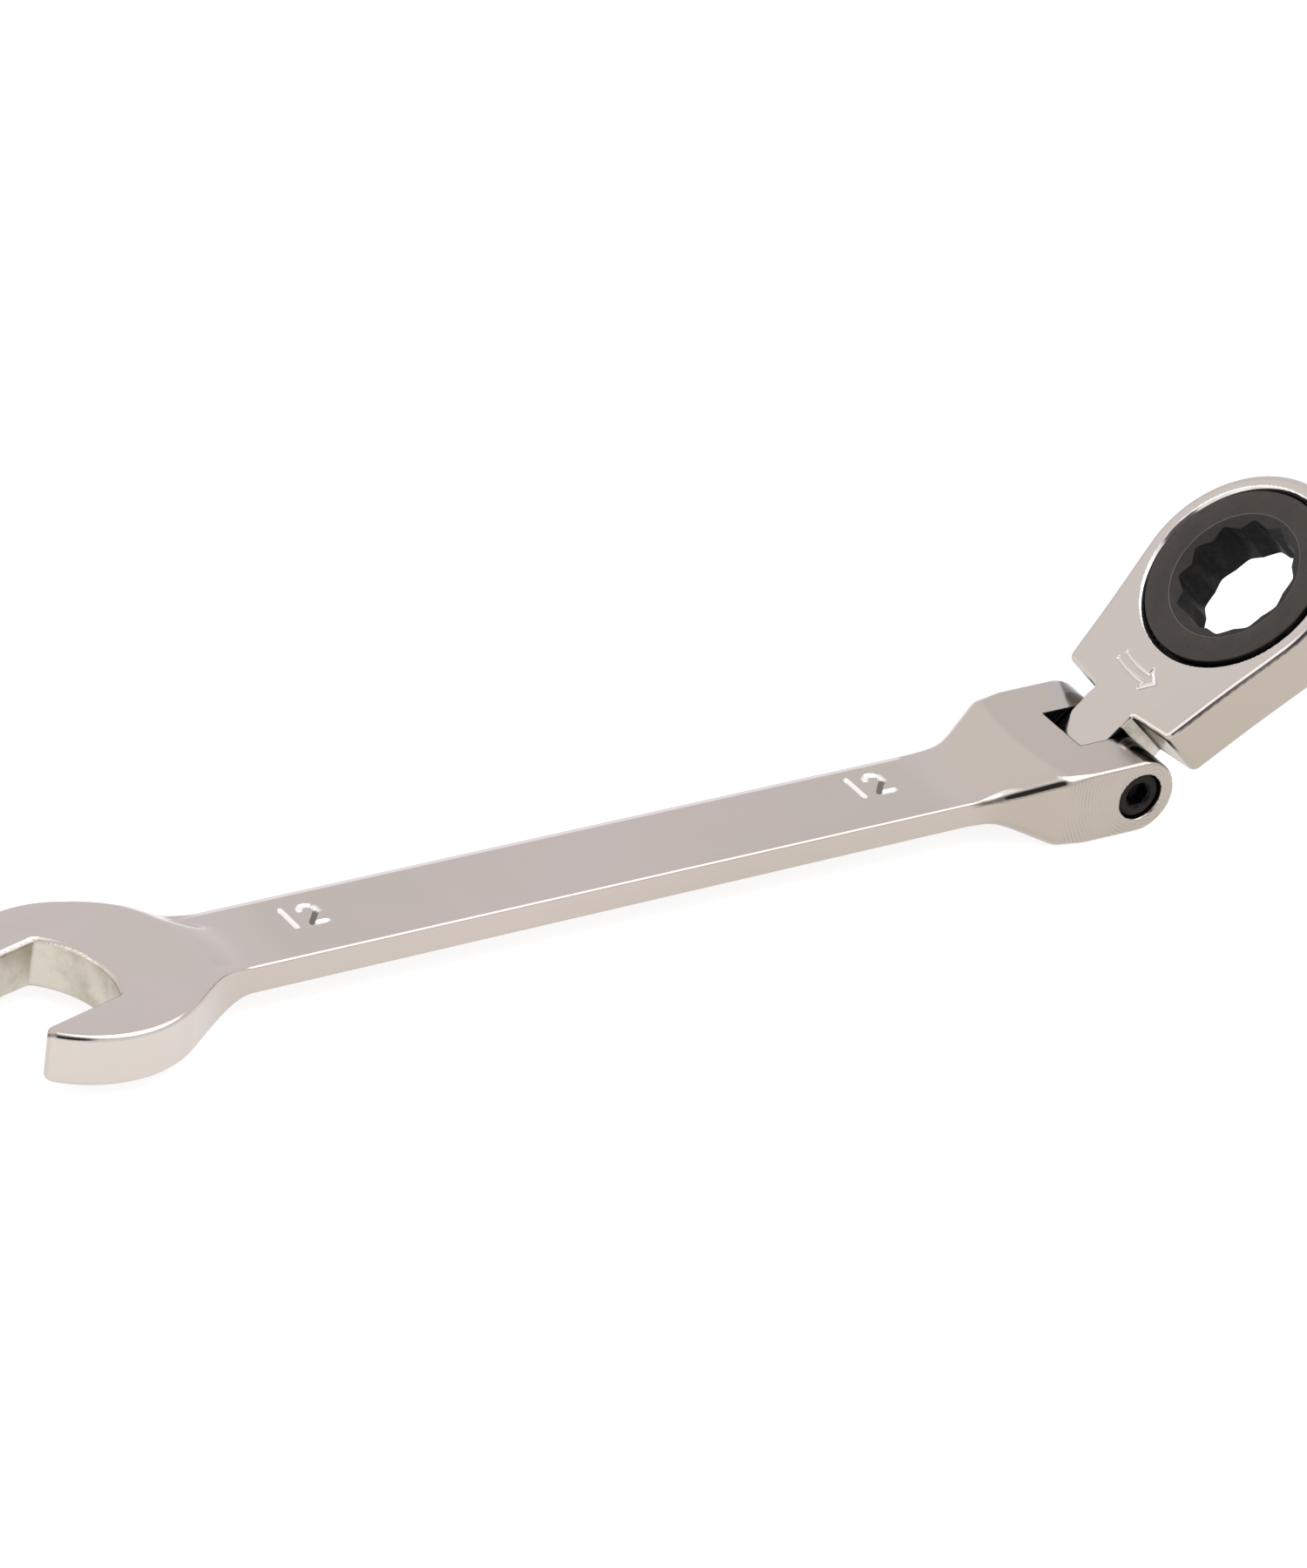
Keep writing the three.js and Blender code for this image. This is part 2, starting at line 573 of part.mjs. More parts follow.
const wrench = new THREE.Group();
wrench.add(
  piece('wrench_body', geometryOf(wrenchBody()), chrome()),
  piece('pivot_screw', pivotScrew(), blackSteel()),
  head,
);

// Set the wrench down: origin at the bottom centre of its bounding box.
const assembly = new THREE.Group();
assembly.add(wrench);
assembly.updateMatrixWorld(true);
const bounds = new THREE.Box3().setFromObject(assembly, true);
const centre = bounds.getCenter(new THREE.Vector3());
wrench.position.set(-centre.x, -centre.y, -bounds.min.z);

export default assembly;
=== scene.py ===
"""Looks for a 12 mm flex-head ratcheting combination wrench.

The visible shells are meshed from distance fields, in millimetres about the hinge axis, so that every
edge carries its real small round. Turned and swept pieces are built as grids of points.
"""
import json
import math
from itertools import product

import bmesh
import bpy
import numpy as np
from mathutils import Matrix, Vector


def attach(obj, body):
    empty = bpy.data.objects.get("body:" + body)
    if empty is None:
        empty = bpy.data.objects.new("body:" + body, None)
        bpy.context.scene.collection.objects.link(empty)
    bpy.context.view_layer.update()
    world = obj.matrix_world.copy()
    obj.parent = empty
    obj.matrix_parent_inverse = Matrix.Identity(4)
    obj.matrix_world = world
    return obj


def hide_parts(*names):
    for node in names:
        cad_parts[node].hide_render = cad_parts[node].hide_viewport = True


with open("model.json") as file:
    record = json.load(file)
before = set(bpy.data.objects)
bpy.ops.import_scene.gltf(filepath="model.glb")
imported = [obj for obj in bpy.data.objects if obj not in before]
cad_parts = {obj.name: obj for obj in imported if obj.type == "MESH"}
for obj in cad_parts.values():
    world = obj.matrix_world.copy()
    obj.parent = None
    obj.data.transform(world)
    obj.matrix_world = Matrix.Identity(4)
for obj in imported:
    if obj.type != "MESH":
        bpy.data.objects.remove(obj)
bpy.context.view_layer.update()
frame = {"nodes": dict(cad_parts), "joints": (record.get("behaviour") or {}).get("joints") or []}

# ---------------------------------------------------------------- places taken from the frame

MM = 0.001
JOINTS = {joint["name"]: joint for joint in frame["joints"]}
HINGE = Vector(JOINTS["flex_hinge"]["pos_m"])
RING = Vector(JOINTS["gear_spin"]["pos_m"])
RING_AXIS = Vector(JOINTS["gear_spin"]["axis"])
HEAD_TILT = math.atan2(-RING_AXIS.x, RING_AXIS.z)
RING_CENTRE = (RING - HINGE).length / MM

BODY_FRAME = Matrix.Translation(HINGE) @ Matrix.Scale(MM, 4)
HEAD_FRAME = Matrix.Translation(HINGE) @ Matrix.Rotation(-HEAD_TILT, 4, "Y") @ Matrix.Scale(MM, 4)
RING_FRAME = HEAD_FRAME @ Matrix.Translation((RING_CENTRE, 0, 0))

# ---------------------------------------------------------------- dimensions, millimetres

JAW_CENTRE_X = -120.0
JAW_ANGLE = math.radians(15)
JAW_GAP = 12.1
JAW_HALF = 2.85
JAW_RADIUS = 12.6
JAW_ROUND = (-2.03, -0.44)
JAW_THROAT = 0.2
THROAT_RADIUS = 9.76
JAW_TIP_ROUND = 1.15
JAW_STEP_START = 12.2
JAW_STEP_END = 18.0
JAW_STEP_END_FAR = 15.6
NECK_ROUND = 5.5
JAW_EDGE = 0.68
JAW_EDGE_FAR = 0.25
SHANK_EDGE = 0.32
SWELL_EDGE = 1.18
EAR_EDGE = 0.43

SHANK_HALF_WIDTH = 5.6
SHANK_HALF_JAW = 1.6
SHANK_HALF_FORK = 1.42
FORK_HALF_WIDTH = 9.15
FORK_HALF = 4.15
FLARE_START = -19.8
SWELL_START = -18.4
SWELL_DISH = 1.4
SLOT_END = -4.5
SLOT_HALF = 3.45
SCREW_HEAD_RADIUS = 2.45
SCREW_SHAFT_RADIUS = 2.0
SCREW_THREAD_RADIUS = 1.75
SCREW_SEAT = -6.1
SCREW_HEX = 2.5
SCREW_MOUTH = 0.18
THREAD_DEPTH = 0.8
HINGE_GAP = 0.15

RING_RADIUS = 12.65
HEAD_HALF = 3.5
SHOULDER = (5.95, 9.15)
SHOULDER_ROOT_X = 5.45
SHOULDER_ROUND = 0.75
SIDE_HOLLOW = 0.1
HEAD_EDGE = 0.8
TONGUE_HALF = 3.3
TONGUE_ROOT_HALF = 3.4
TONGUE_ROOT_X = 3.75
TONGUE_END = 12.0
TONGUE_EDGE = 0.18
LIP_RADIUS = 10.65
LIP_Z = 2.35
LIP_CHAMFER = 0.42
BORE_RADIUS = 11.2
GROOVE_RADIUS = 11.85
GROOVE = (-3.05, -2.2)
POCKET_BACK = 7.9
POCKET_FRONT = RING_CENTRE - 8
POCKET_HALF_WIDTH = 4.35
POCKET_HALF_HEIGHT = 2.25
SPRING_BORE_END = 6.5
SPRING_BORE_RADIUS = 1.35

GEAR_TEETH = 72
GEAR_TIP_RADIUS = 11.0
GEAR_ROOT_RADIUS = 10.5
GEAR_FACE_RADIUS = 10.36
GEAR_HUB_RADIUS = 10.2
GEAR_TOP = 3.72
GEAR_BOTTOM = -3.42
SOCKET_FLATS = 12.1
SOCKET_PHASE = math.radians(2)
SOCKET_MOUTH = 7.5

# ---------------------------------------------------------------- distance fields


def round_and(a, b, r):
    """Intersection of two fields, its edge rounded to radius r."""
    return np.minimum(-r, np.maximum(a, b)) + np.hypot(np.maximum(r + a, 0), np.maximum(r + b, 0))


def round_or(a, b, r):
    """Union of two fields, its corner filled to radius r."""
    return np.maximum(r, np.minimum(a, b)) - np.hypot(np.maximum(r - a, 0), np.maximum(r - b, 0))


def smoothstep(x, low, high):
    t = np.clip((x - low) / (high - low), 0, 1)
    return t * t * (3 - 2 * t)


def window(x, rise, full, fall, end):
    """Climbs from 0 at rise to 1 at full, and drops from 1 at fall to 0 at end."""
    return smoothstep(x, rise, full) * (1 - smoothstep(x, fall, end))


def swell(x, start, low, high, concave, convex, angle):
    """Half size that grows from low to high: a concave arc, a slope and a convex arc."""
    rise_1, rise_3 = concave * (1 - math.cos(angle)), convex * (1 - math.cos(angle))
    x1 = start + concave * math.sin(angle)
    x2 = x1 + (high - low - rise_1 - rise_3) / math.tan(angle)
    x3 = x2 + convex * math.sin(angle)
    arc_1 = low + concave - np.sqrt(np.maximum(concave ** 2 - (x - start) ** 2, 0))
    slope = low + rise_1 + (x - x1) * math.tan(angle)
    arc_3 = high - convex + np.sqrt(np.maximum(convex ** 2 - (x3 - x) ** 2, 0))
    return np.select([x <= start, x <= x1, x <= x2, x <= x3], [low, arc_1, slope, arc_3], high)


def half_width(x):
    return swell(x, FLARE_START, SHANK_HALF_WIDTH, FORK_HALF_WIDTH, 13.4, 3, math.radians(26.5))


def half_thickness(x):
    start = JAW_CENTRE_X + 13
    along = np.clip((x - start) / (SWELL_START - start), 0, 1)
    plain = SHANK_HALF_JAW + (SHANK_HALF_FORK - SHANK_HALF_JAW) * along
    fork = swell(x, SWELL_START, SHANK_HALF_FORK, FORK_HALF, 13.4, 2, math.radians(25.2))
    return np.where(x < SWELL_START, plain, fork)


def dished(x, y):
    """The place along the shank that sets the thickness: the swell's ends are curved across the fork."""
    return x + SWELL_DISH * (1 - (y / FORK_HALF_WIDTH) ** 2) * (x < 0)


def segment(x, y, a, b):
    """Distance from a line between two points."""
    ax, ay = a
    dx, dy = b[0] - ax, b[1] - ay
    t = np.clip(((x - ax) * dx + (y - ay) * dy) / (dx * dx + dy * dy), 0, 1)
    return np.hypot(x - ax - t * dx, y - ay - t * dy)


def polyline(x, y, points):
    return np.minimum.reduce([segment(x, y, a, b) for a, b in zip(points, points[1:])])


def digits_12(x, y, left, base, size):
    """Distance from the strokes of the size mark 12."""
    one = [(left, base), (left, base + size)]
    r = size * 0.27
    cx, cy = left + size * 0.8, base + size - r
    bowl = [(cx + r * math.cos(math.radians(a)), cy + r * math.sin(math.radians(a)))
            for a in range(165, -46, -15)]
    two = bowl + [(cx - r, base), (cx + r * 1.05, base)]
    return np.minimum(polyline(x, y, one), polyline(x, y, two))


MARKS = [(-96.9, -0.62, 3.2), (-28.9, -0.2, 3.35)]
MARK_HALF = 0.4
MARK_DEPTH = 0.16
ARROW_HALF = 0.23
ARROW_DEPTH = 0.12


def groove(distance, half, depth):
    """Depth of a stamped line with sloping sides."""
    return depth * (1 - smoothstep(distance, half * 0.35, half))


def jaw_axes(x, y):
    c, s = math.cos(JAW_ANGLE), math.sin(JAW_ANGLE)
    return (x - JAW_CENTRE_X) * c + y * s, -(x - JAW_CENTRE_X) * s + y * c


def jaw_reach(x, y):
    """Distance from the centre of the jaw's round outline."""
    jx, jy = jaw_axes(x, y)
    return np.hypot(jx - JAW_ROUND[0], jy - JAW_ROUND[1])


def jaw_opening(x, y):
    """Field of the jaw's open space, negative inside it."""
    jx, jy = jaw_axes(x, y)
    back = np.hypot(np.maximum(jx - (JAW_THROAT - THROAT_RADIUS), 0), jy) - THROAT_RADIUS
    return round_and(np.abs(jy) - JAW_GAP / 2, back, 0.15)


def jaw_plan(x, y):
    """Field of the jaw's outline with its opening, each prong ending in a true round."""
    jx, jy = jaw_axes(x, y)
    plan = np.maximum(jaw_reach(x, y) - JAW_RADIUS, -jaw_opening(x, y))
    reach = JAW_RADIUS - JAW_TIP_ROUND
    for side in (-1, 1):
        cy = side * (JAW_GAP / 2 + JAW_TIP_ROUND)
        cx = JAW_ROUND[0] - math.sqrt(reach ** 2 - (cy - JAW_ROUND[1]) ** 2)
        out_x, out_y = (cx - JAW_ROUND[0]) / reach, (cy - JAW_ROUND[1]) / reach
        ux, uy = jx - cx, jy - cy
        in_tip = (side * jy > 0) & (ux < 0) & (side * (uy * out_x - ux * out_y) > 0)
        plan = np.where(in_tip, np.hypot(ux, uy) - JAW_TIP_ROUND, plan)
    return plan


def body_field(x, y, z):
    """Open jaw, shank and fork."""
    bar = np.maximum(np.abs(y) - half_width(x), JAW_CENTRE_X + 8 - x)
    plan = round_or(jaw_plan(x, y), bar, NECK_ROUND)
    step_end = JAW_STEP_END + (JAW_STEP_END_FAR - JAW_STEP_END) * smoothstep(y, 1.5, 5.0)
    step = smoothstep(jaw_reach(x, y), JAW_STEP_START, step_end)
    half = JAW_HALF + (half_thickness(dished(x, y)) - JAW_HALF) * step
    mark = sum(groove(digits_12(x, y, *m), MARK_HALF, MARK_DEPTH) for m in MARKS)
    faces = np.maximum(z - half + mark, -z - half)
    faces = np.where(x > 0, np.hypot(x, z) - FORK_HALF, faces)
    edge = JAW_EDGE + (SHANK_EDGE - JAW_EDGE) * smoothstep(x, -113, -106)
    edge = edge + (SWELL_EDGE - SHANK_EDGE) * smoothstep(x, -19, -15)
    edge = edge + (EAR_EDGE - SWELL_EDGE) * smoothstep(x, -9.5, -6)
    edge = edge + JAW_EDGE_FAR * smoothstep(y, 3, 5) * smoothstep(x, -112, -104)
    solid = round_and(plan, faces, edge)
    slot = round_and(np.abs(y) - SLOT_HALF, SLOT_END - x, 0.2)
    solid = round_and(solid, -slot, 0.12)
    from_axis = np.hypot(x, z)
    mouth = np.maximum(SCREW_MOUTH - (y + FORK_HALF_WIDTH), 0)
    seat = np.maximum(from_axis - SCREW_HEAD_RADIUS - HINGE_GAP - mouth, y - SCREW_SEAT)
    shaft = np.maximum(from_axis - SCREW_SHAFT_RADIUS - HINGE_GAP, y)
    thread = np.maximum(from_axis - SCREW_THREAD_RADIUS - HINGE_GAP, y - FORK_HALF_WIDTH + THREAD_DEPTH)
    return round_and(solid, -np.minimum(np.minimum(seat, shaft), thread), 0.05)


def arrow_distance(x, y):
    """Distance from the outline of the curved arrow on the head."""
    def at(radius, degrees):
        a = math.radians(degrees)
        return RING_CENTRE - radius * math.cos(a), radius * math.sin(a)

    middle, half, wide = 14.25, 0.52, 1.25
    tail, neck, tip = 14.5, -4.5, -10.5
    steps = np.linspace(tail, neck, 9)
    outer = [at(middle + half, a) for a in steps]
    inner = [at(middle - half, a) for a in steps]
    barbs = [at(middle + side * wide, neck - 0.3) for side in (1, -1)]
    point = [outer[-1], barbs[0], at(middle, tip), barbs[1], inner[-1]]
    return np.minimum.reduce([polyline(x, y, line) for line in (outer, inner, point)])


def head_field(x, y, z):
    """Ring housing with its tongue."""
    from_ring = np.hypot(x - RING_CENTRE, y)
    sx, sy = SHOULDER[0] - RING_CENTRE, SHOULDER[1]
    normal = math.atan2(sy, sx) - math.acos(RING_RADIUS / math.hypot(sx, sy))
    side = (x - RING_CENTRE) * math.cos(normal) + np.abs(y) * math.sin(normal) - RING_RADIUS
    hollow = np.clip((x - SHOULDER[0]) / (RING_CENTRE - 2.5 - SHOULDER[0]), 0, 1)
    side = side + SIDE_HOLLOW * np.sin(math.pi * hollow) ** 2
    sweep = (SHOULDER[0] - SHOULDER_ROOT_X) / (SHOULDER[1] - TONGUE_HALF)
    shoulder = SHOULDER_ROOT_X + (np.abs(y) - TONGUE_HALF) * sweep - x
    web_end = RING_CENTRE + RING_RADIUS * math.cos(normal)
    web = np.maximum(round_and(side, shoulder, SHOULDER_ROUND), x - web_end)
    plan = np.minimum(from_ring - RING_RADIUS, web)
    tongue = np.maximum(np.abs(y) - TONGUE_HALF, x - TONGUE_END)
    root = round_and(np.abs(y) - TONGUE_ROOT_HALF, TONGUE_ROOT_X - x, 0.12)
    plan = round_or(plan, np.minimum(tongue, np.maximum(root, x - TONGUE_END)), 0.25)
    mark = groove(arrow_distance(x, y), ARROW_HALF, ARROW_DEPTH)
    faces = np.maximum(z - HEAD_HALF + mark, -z - HEAD_HALF)
    faces = np.where(x < 0, np.hypot(x, z) - HEAD_HALF, faces)
    solid = round_and(plan, faces, TONGUE_EDGE + (HEAD_EDGE - TONGUE_EDGE) * smoothstep(x, 4, 7))
    lip = np.maximum(from_ring - LIP_RADIUS - np.maximum(z - HEAD_HALF + LIP_CHAMFER, 0), LIP_Z - z)
    bore = np.maximum(from_ring - BORE_RADIUS - np.maximum(-HEAD_HALF + 0.3 - z, 0), z - LIP_Z)
    middle, half = (GROOVE[0] + GROOVE[1]) / 2, (GROOVE[1] - GROOVE[0]) / 2
    slot = np.maximum(from_ring - GROOVE_RADIUS, np.abs(z - middle) - half)
    pivot = np.hypot(x, z) - SCREW_SHAFT_RADIUS - HINGE_GAP
    pocket = np.maximum(np.abs(y) - POCKET_HALF_WIDTH, np.abs(z) - POCKET_HALF_HEIGHT)
    pocket = np.maximum.reduce([pocket, POCKET_BACK - x, x - POCKET_FRONT])
    spring_bore = np.maximum(np.hypot(y, z) - SPRING_BORE_RADIUS, SPRING_BORE_END - x)
    spring_bore = np.maximum(spring_bore, x - POCKET_BACK - 1)
    hole = np.minimum.reduce([lip, bore, slot, pivot, pocket, spring_bore])
    return round_and(solid, -hole, 0.06)


# ---------------------------------------------------------------- meshing


def spaced(*stops):
    """Grid lines from (position, step) stops: each step holds up to the next position."""
    lines = []
    for (low, step), (high, _) in zip(stops, stops[1:]):
        count = max(1, round((high - low) / step))
        lines.append(np.linspace(low, high, count, endpoint=False))
    return np.concatenate(lines + [[stops[-1][0]]])


def gradient(field, p, h=0.01):
    g = np.empty_like(p)
    for axis in range(3):
        step = np.zeros(3)
        step[axis] = h
        high, low = (p + step).T, (p - step).T
        g[:, axis] = (field(*high) - field(*low)) / (2 * h)
    return g


def surface_net(field, xs, ys, zs):
    """Points, quads and normals of the surface where field is zero, from a box of grid lines."""
    values = np.empty((len(xs), len(ys), len(zs)), np.float32)
    for start in range(0, len(xs), 16):
        block = np.meshgrid(xs[start:start + 16], ys, zs, indexing="ij")
        values[start:start + 16] = field(*block)
    inside = values < 0
    count = sum(inside[i:len(xs) - 1 + i, j:len(ys) - 1 + j, k:len(zs) - 1 + k].astype(np.int8)
                for i, j, k in product((0, 1), repeat=3))
    mixed = (count > 0) & (count < 8)
    cells = np.argwhere(mixed)
    number = np.full(mixed.shape, -1, np.int32)
    number[mixed] = np.arange(len(cells))

    lines = (xs, ys, zs)
    total, hits = np.zeros((len(cells), 3)), np.zeros(len(cells))
    for axis in range(3):
        others = [a for a in range(3) if a != axis]
        for offset in product((0, 1), repeat=2):
            low = cells.copy()
            low[:, others[0]] += offset[0]
            low[:, others[1]] += offset[1]
            high = low.copy()
            high[:, axis] += 1
            v0, v1 = values[tuple(low.T)], values[tuple(high.T)]
            cross = (v0 < 0) != (v1 < 0)
            t = np.where(cross, v0 / np.where(cross, v0 - v1, 1), 0)
            for a in range(3):
                start, end = lines[a][low[:, a]], lines[a][high[:, a]]
                total[:, a] += np.where(cross, start + t * (end - start), 0)
            hits += cross
    points = total / hits[:, None]

    for _ in range(4):
        slope = gradient(field, points)
        size = np.maximum((slope ** 2).sum(1), 1e-6)
        move = -slope * (field(*points.T) / size)[:, None]
        points += np.clip(move, -0.1, 0.1)
    normals = gradient(field, points, 0.02)
    normals /= np.maximum(np.linalg.norm(normals, axis=1), 1e-9)[:, None]

    quads = []
    for axis in range(3):
        b, c = (axis + 1) % 3, (axis + 2) % 3
        size = list(inside.shape)
        low = [slice(None)] * 3
        low[axis] = slice(0, size[axis] - 1)
        high = list(low)
        high[axis] = slice(1, size[axis])
        first, second = inside[tuple(low)], inside[tuple(high)]
        edges = np.argwhere(first != second)
        keep = (edges[:, b] > 0) & (edges[:, c] > 0)
        keep &= (edges[:, b] < size[b] - 1) & (edges[:, c] < size[c] - 1)
        edges = edges[keep]
        ring = []
        for db, dc in ((-1, -1), (0, -1), (0, 0), (-1, 0)):
            cell = edges.copy()
            cell[:, b] += db
            cell[:, c] += dc
            ring.append(number[tuple(cell.T)])
        faces = np.stack(ring, 1)
        flip = ~first[tuple(edges.T)]
        faces[flip] = faces[flip][:, ::-1]
        quads.append(faces)
    return points, np.concatenate(quads), normals


def new_object(name, points, faces, place, material):
    mesh = bpy.data.meshes.new(name)
    mesh.from_pydata([place @ Vector(p) for p in points], [], [list(f) for f in faces])
    mesh.update()
    obj = bpy.data.objects.new(name, mesh)
    bpy.context.scene.collection.objects.link(obj)
    mesh.materials.append(material)
    mesh.polygons.foreach_set("use_smooth", [True] * len(mesh.polygons))
    return obj


def net_object(name, net, place, material, masks):
    """A meshed field as an object, with its exact normals and a float attribute for each mask."""
    points, quads, normals = net
    turn = np.array(place.to_3x3().normalized())
    origin = np.array(place.translation)
    world = points @ (turn.T * MM) + origin
    obj = new_object(name, world, quads, Matrix.Identity(4), material)
    obj.data.normals_split_custom_set_from_vertices((normals @ turn.T).tolist())
    for label, mask in masks.items():
        attribute = obj.data.attributes.new(label, "FLOAT", "POINT")
        attribute.data.foreach_set("value", mask(*points.T).astype(np.float32))
    return obj


def turned_object(name, rings, place, material, sharp=30):
    """A grid object: rings is an array (angles, profile points, 3), closed both ways; poles are merged."""
    count, length = rings.shape[:2]
    points = rings.reshape(-1, 3)
    i, j = np.meshgrid(np.arange(count), np.arange(length), indexing="ij")
    i2, j2 = (i + 1) % count, (j + 1) % length
    faces = np.stack([i * length + j, i2 * length + j, i2 * length + j2, i * length + j2], -1).reshape(-1, 4)
    obj = new_object(name, points, faces, place, material)
    clean(obj, sharp)
    return obj


def face_mask(obj, place, label, rule):
    """A float for every face: rule gets the face centres and normals in the piece's own axes."""
    count = len(obj.data.polygons)
    centres, normals = np.empty(count * 3), np.empty(count * 3)
    obj.data.polygons.foreach_get("center", centres)
    obj.data.polygons.foreach_get("normal", normals)
    turn = np.array(place.to_3x3().normalized())
    centres = (centres.reshape(-1, 3) - np.array(place.translation)) @ turn / MM
    normals = normals.reshape(-1, 3) @ turn
    attribute = obj.data.attributes.new(label, "FLOAT", "FACE")
    attribute.data.foreach_set("value", rule(centres, normals).astype(np.float32))


def clean(obj, sharp):
    """Merges poles, turns faces outwards and marks edges sharper than the angle."""
    bm = bmesh.new()
    bm.from_mesh(obj.data)
    bmesh.ops.remove_doubles(bm, verts=bm.verts, dist=1e-7)
    bmesh.ops.dissolve_degenerate(bm, edges=bm.edges, dist=1e-8)
    bmesh.ops.recalc_face_normals(bm, faces=bm.faces)
    bm.to_mesh(obj.data)
    bm.free()
    obj.data.set_sharp_from_angle(angle=math.radians(sharp))


# ---------------------------------------------------------------- materials


class Nodes:
    """Short calls for building a node material."""

    def __init__(self, name):
        self.material = bpy.data.materials.new(name)
        self.material.use_nodes = True
        self.tree = self.material.node_tree
        self.shader = self.tree.nodes["Principled BSDF"]
        self.place = self.add("ShaderNodeTexCoord").outputs["Object"]

    def add(self, kind, **settings):
        node = self.tree.nodes.new(kind)
        for key, value in settings.items():
            setattr(node, key, value)
        return node

    def link(self, source, target):
        if hasattr(source, "is_output"):
            self.tree.links.new(source, target)
        else:
            target.default_value = source

    def math(self, operation, a, b=0.0, c=0.0, clamp=False):
        node = self.add("ShaderNodeMath", operation=operation, use_clamp=clamp)
        for value, socket in zip((a, b, c), node.inputs):
            self.link(value, socket)
        return node.outputs[0]

    def noise(self, scale, detail=3.0, rough=0.5, stretch=(1, 1, 1)):
        mapping = self.add("ShaderNodeMapping")
        self.link(self.place, mapping.inputs["Vector"])
        mapping.inputs["Scale"].default_value = stretch
        node = self.add("ShaderNodeTexNoise")
        self.link(mapping.outputs[0], node.inputs["Vector"])
        node.inputs["Scale"].default_value = scale
        node.inputs["Detail"].default_value = detail
        node.inputs["Roughness"].default_value = rough
        return node.outputs["Fac"]

    def ramp(self, value, low, high, out_low, out_high):
        node = self.add("ShaderNodeMapRange", clamp=True)
        keys = ("Value", "From Min", "From Max", "To Min", "To Max")
        for key, v in zip(keys, (value, low, high, out_low, out_high)):
            self.link(v, node.inputs[key])
        return node.outputs["Result"]

    def mix(self, share, a, b):
        node = self.add("ShaderNodeMix", data_type="RGBA")
        self.link(share, node.inputs[0])
        self.link(a, node.inputs[6])
        self.link(b, node.inputs[7])
        return node.outputs[2]

    def attribute(self, name):
        return self.add("ShaderNodeAttribute", attribute_name=name).outputs["Fac"]

    def bump(self, height, strength, distance, normal=None):
        node = self.add("ShaderNodeBump")
        node.inputs["Strength"].default_value = strength
        node.inputs["Distance"].default_value = distance
        self.link(height, node.inputs["Height"])
        if normal is not None:
            self.link(normal, node.inputs["Normal"])
        return node.outputs["Normal"]

    def set(self, socket, value):
        self.link(value, self.shader.inputs[socket])


CHROME = (0.535, 0.470, 0.432, 1)
CHROME_WARM = (0.522, 0.466, 0.418, 1)
# Cooler tone for a painted reflection tint.
CHROME_COOL = (0.490, 0.462, 0.450, 1)
# Darker tone for the wipe smears and for painted shade.
CHROME_SHADE = (0.445, 0.388, 0.328, 1)
CHROME_RAW = (0.620, 0.575, 0.500, 1)
RAW_STAIN = (0.470, 0.430, 0.360, 1)
# Near-white colour for painted highlights on the marks, rims and edges.
PAINTED_HIGHLIGHT = (0.93, 0.88, 0.85, 1)
MILLED_DARK = (0.36, 0.32, 0.29, 1)
# Near-black colour for painted shade and painted dark reflections.
PAINTED_DARK = (0.030, 0.030, 0.029, 1)
MASKS = ("raw", "grind", "cool", "shade", "bright", "dark")


def chrome_material():
    """Satin chrome. Masks: raw for unpolished walls, grind for milled sides, cool for a painted reflection
    tint on rounds and faces, shade for painted shade, bright for painted highlights on the cut of the marks
    and edges, and dark for painted shade in the hinge's gaps and painted dark reflections along edges."""
    n = Nodes("satin_chrome")
    cloud = n.noise(60, 3)
    fine = n.noise(1500, 4, 0.6)
    raw, grind, cool, shade, bright, dark = (n.attribute(name) for name in MASKS)
    colour = n.mix(n.ramp(cloud, 0.38, 0.62, 0, 1), CHROME, CHROME_WARM)
    smear = n.ramp(n.noise(40, 5, 0.62, (0.4, 1.3, 1)), 0.5, 0.7, 0, 0.4)
    colour = n.mix(smear, colour, CHROME_SHADE)
    # cool paints a reflection tint and shade paints shade into the colour.
    colour = n.mix(cool, colour, CHROME_COOL)
    colour = n.mix(shade, colour, CHROME_SHADE)
    stain = n.ramp(n.noise(330, 5, 0.65), 0.42, 0.66, 0, 1)
    colour = n.mix(raw, colour, n.mix(stain, CHROME_RAW, RAW_STAIN))
    arcs = milled_arcs(n, grind)
    colour = n.mix(n.math("MULTIPLY", arcs, 1.3, clamp=True), colour, MILLED_DARK)
    # bright paints highlights, and dark paints shade and dark reflections into the colour.
    colour = n.mix(bright, colour, PAINTED_HIGHLIGHT)
    colour = n.mix(dark, colour, PAINTED_DARK)
    n.set("Base Color", colour)
    n.set("Metallic", 1.0)
    rough = n.math("ADD", n.ramp(fine, 0.3, 0.7, 0.11, 0.15), n.math("MULTIPLY", raw, 0.25))
    n.set("Roughness", n.math("ADD", rough, n.math("MULTIPLY", grind, 0.05)))
    height = n.math("ADD", n.math("MULTIPLY", fine, 0.12), n.math("MULTIPLY", n.noise(300, 3), 0.5))
    normal = n.bump(height, 0.12, 0.00002)
    pits = n.math("MULTIPLY", n.noise(700, 5, 0.7), raw)
    normal = n.bump(pits, 0.6, 0.0001, normal)
    n.set("Normal", n.bump(arcs, 0.5, 0.00002, normal))
    return n.material


def milled_arcs(n, grind):
    """Fine arcs that a milling cutter leaves on the sides of the fork."""
    split = n.add("ShaderNodeSeparateXYZ")
    n.link(n.place, split.inputs[0])
    dx = n.math("SUBTRACT", split.outputs[0], HINGE.x + 0.0012)
    dz = n.math("SUBTRACT", split.outputs[2], HINGE.z + 0.0018)
    far = n.math("SQRT", n.math("ADD", n.math("MULTIPLY", dx, dx), n.math("MULTIPLY", dz, dz)))
    wave = n.math("SINE", n.math("MULTIPLY", far, 2 * math.pi / 0.00042))
    patchy = n.ramp(n.noise(260, 3), 0.4, 0.65, 0.1, 0.8)
    return n.math("MULTIPLY", n.math("MULTIPLY", wave, grind), patchy)


